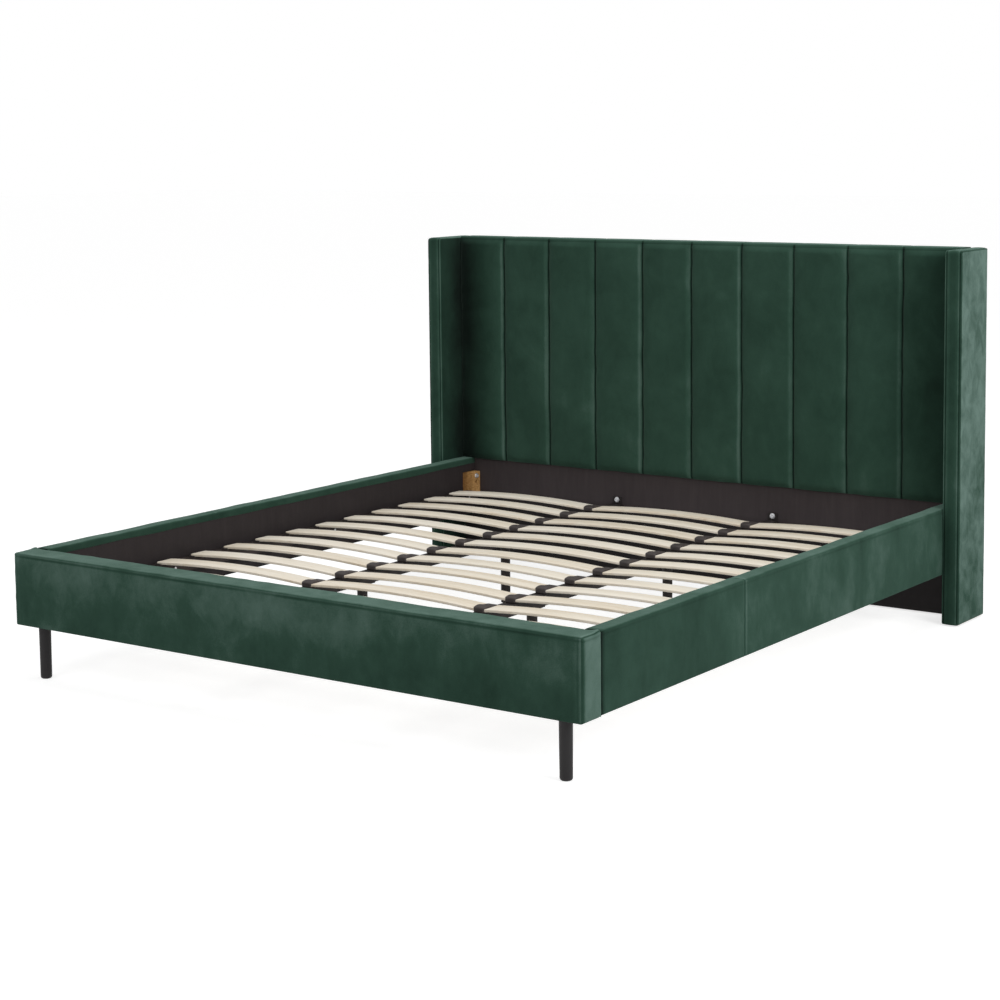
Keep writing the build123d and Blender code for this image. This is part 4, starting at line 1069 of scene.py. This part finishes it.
def leg(name, node, side):
    """A turned, slightly tapered leg with a well-rounded foot."""
    profile = [(0.004, 0.0)]
    for turn in np.linspace(0, math.pi / 2, 8):
        inward = LEG_FOOT_RADIUS - LEG_ROUNDING
        profile.append((inward + LEG_ROUNDING * math.sin(turn), LEG_ROUNDING * (1 - math.cos(turn))))
    for share in np.linspace(0.1, 1, 14):
        height = LEG_ROUNDING + (LEG_TOP - LEG_TOP_EDGE - LEG_ROUNDING) * share
        profile.append((LEG_FOOT_RADIUS + (LEG_TOP_RADIUS - LEG_FOOT_RADIUS) * share, height))
    profile.append((LEG_TOP_RADIUS - LEG_TOP_EDGE, LEG_TOP))
    angles = np.linspace(0, 2 * math.pi, LEG_SIDES, endpoint=False)
    vertices = [(side * LEG_X + r * math.cos(a), LEG_Y + r * math.sin(a), z) for r, z in profile for a in angles]
    dress(new_object(name, vertices, tube_faces(0, len(profile), LEG_SIDES)), "black_leg", node)


leg("turned_leg_left", "front_leg_left", -1)
leg("turned_leg_right", "front_leg_right", 1)


# Staples along the back lining

STAPLE_LENGTH, STAPLE_FACE = 0.011, 1.0981
STAPLE_SECTION = [(-0.0006, 0.0), (-0.0004, 0.0007), (0.0004, 0.0007), (0.0006, 0.0)]
STAPLE_ENDS, STAPLE_SINK = (-0.5, -0.44, 0.44, 0.5), 0.0009


def staples():
    """Small staples that hold the back cloth, as one piece."""
    places = [(x, z, True) for x in np.arange(-0.925, 0.93, 0.05) for z in (0.016, 1.128)]
    places += [(x, z, False) for z in np.arange(0.06, 1.1, 0.055) for x in (-0.938, 0.938)]
    rng = np.random.default_rng(9)
    vertices, faces = [], []
    for x, z, level in places:
        tilt = rng.normal(0, 0.12)
        way = (math.cos(tilt), 0, math.sin(tilt))
        stray_x, stray_z = (0.002, 0.001) if level else (0.001, 0.002)
        middle = Vector((x + rng.normal(0, stray_x), STAPLE_FACE, z + rng.normal(0, stray_z)))
        u = Vector(way if level else way[::-1]).normalized()
        w = Vector((0, 1, 0)).cross(u)
        faces += tube_faces(len(vertices), len(STAPLE_ENDS), len(STAPLE_SECTION))
        for end in STAPLE_ENDS:
            for side, up in STAPLE_SECTION:
                lift = up if abs(end) < 0.5 else up - STAPLE_SINK
                vertices.append(tuple(middle + u * (end * STAPLE_LENGTH) + w * side + Vector((0, lift, 0))))
    dress(new_object("back_staples", vertices, faces), "zinc_bolt")


staples()


# Stage: camera, floor, light

CAMERA_PLACE = (3.638224, -5.182308, 1.512348)
CAMERA_YAW, CAMERA_PITCH, CAMERA_ROLL = 35.464, -5.716, -0.596
FOCAL_PIXELS, PHOTO_PIXELS, SENSOR_WIDTH, CAMERA_SHIFT = 2168.511, 1000, 36, -0.15
FLOOR_HALF, FLOOR_GREY, FLOOR_GLOW = 40, 0.62, 0.68
WORLD_LIGHT, WORLD_WHITE = 0.5, 1.0


def camera():
    """A camera at the photograph's viewing angle."""
    yaw, pitch, roll = (math.radians(v) for v in (CAMERA_YAW, CAMERA_PITCH, CAMERA_ROLL))
    forward = Vector((-math.sin(yaw) * math.cos(pitch), math.cos(yaw) * math.cos(pitch), math.sin(pitch)))
    right = Vector((math.cos(yaw), math.sin(yaw), 0))
    up = right.cross(forward)
    r = math.cos(roll) * right + math.sin(roll) * up
    u = -math.sin(roll) * right + math.cos(roll) * up
    data = bpy.data.cameras.new("camera")
    data.lens = FOCAL_PIXELS * SENSOR_WIDTH / PHOTO_PIXELS
    data.sensor_width = SENSOR_WIDTH
    data.shift_y = CAMERA_SHIFT
    data.clip_start, data.clip_end = 0.05, 200
    obj = show("camera", data)
    obj.matrix_world = Matrix.Translation(CAMERA_PLACE) @ Matrix((r, u, -forward)).transposed().to_4x4()
    bpy.context.scene.camera = obj


def light(name, place, target, size, power):
    """A round, soft studio light."""
    data = bpy.data.lights.new(name, "AREA")
    data.shape = "DISK"
    data.size = size
    data.energy = power
    way = Vector(target) - Vector(place)
    turn = way.to_track_quat("-Z", "Y").to_matrix().to_4x4()
    show(name, data).matrix_world = Matrix.Translation(place) @ turn


def stage():
    """A pale floor that keeps the shadow, and white behind it."""
    corners = [(x * FLOOR_HALF, y * FLOOR_HALF, 0) for x, y in ((-1, -1), (1, -1), (1, 1), (-1, 1))]
    floor = new_object("floor", corners, [(0, 1, 2, 3)], False)
    look = Look("floor")
    look.finish((FLOOR_GREY,) * 3, 0.9, Specular_IOR_Level=0.05)
    rays = look.new("ShaderNodeLightPath").outputs
    seen = look.math("MAXIMUM", rays["Is Glossy Ray"], rays["Is Transmission Ray"])
    seen = look.math("MAXIMUM", rays["Is Camera Ray"], seen)
    strength = look.math("MULTIPLY", seen, FLOOR_GLOW)
    glow = look.new("ShaderNodeEmission", (("Color", (1, 1, 1)), ("Strength", strength)))
    blend = look.new("ShaderNodeAddShader", enumerate((look.bsdf.outputs[0], glow.outputs[0])))
    look.wire(blend.outputs[0], look.tree.nodes["Material Output"].inputs["Surface"])
    floor.data.materials.append(look.owner)
    sky = Look("world", bpy.data.worlds)
    bpy.context.scene.world = sky.owner
    sky.tree.nodes.clear()
    rays = sky.new("ShaderNodeLightPath").outputs
    shaders = [sky.math("MAXIMUM", rays["Is Camera Ray"], rays["Is Transmission Ray"])]
    for strength in (WORLD_LIGHT, WORLD_WHITE):
        plain = sky.new("ShaderNodeBackground", (("Color", (1, 1, 1)), ("Strength", strength)))
        shaders.append(plain.outputs[0])
    mix = sky.new("ShaderNodeMixShader", enumerate(shaders))
    sky.new("ShaderNodeOutputWorld", [("Surface", mix.outputs[0])])
    light("key", (5.0, -1.0, 2.9), (0.3, 0.3, 0.4), 2.4, 112)
    light("front", (-0.8, -5.4, 3.2), (0.0, 0.4, 0.5), 3.0, 46)
    light("top", (0.2, 0.4, 4.6), (0.0, 0.1, 0.0), 3.0, 60)
    bpy.context.scene.view_settings.view_transform = "Standard"


camera()
stage()
bpy.context.view_layer.update()
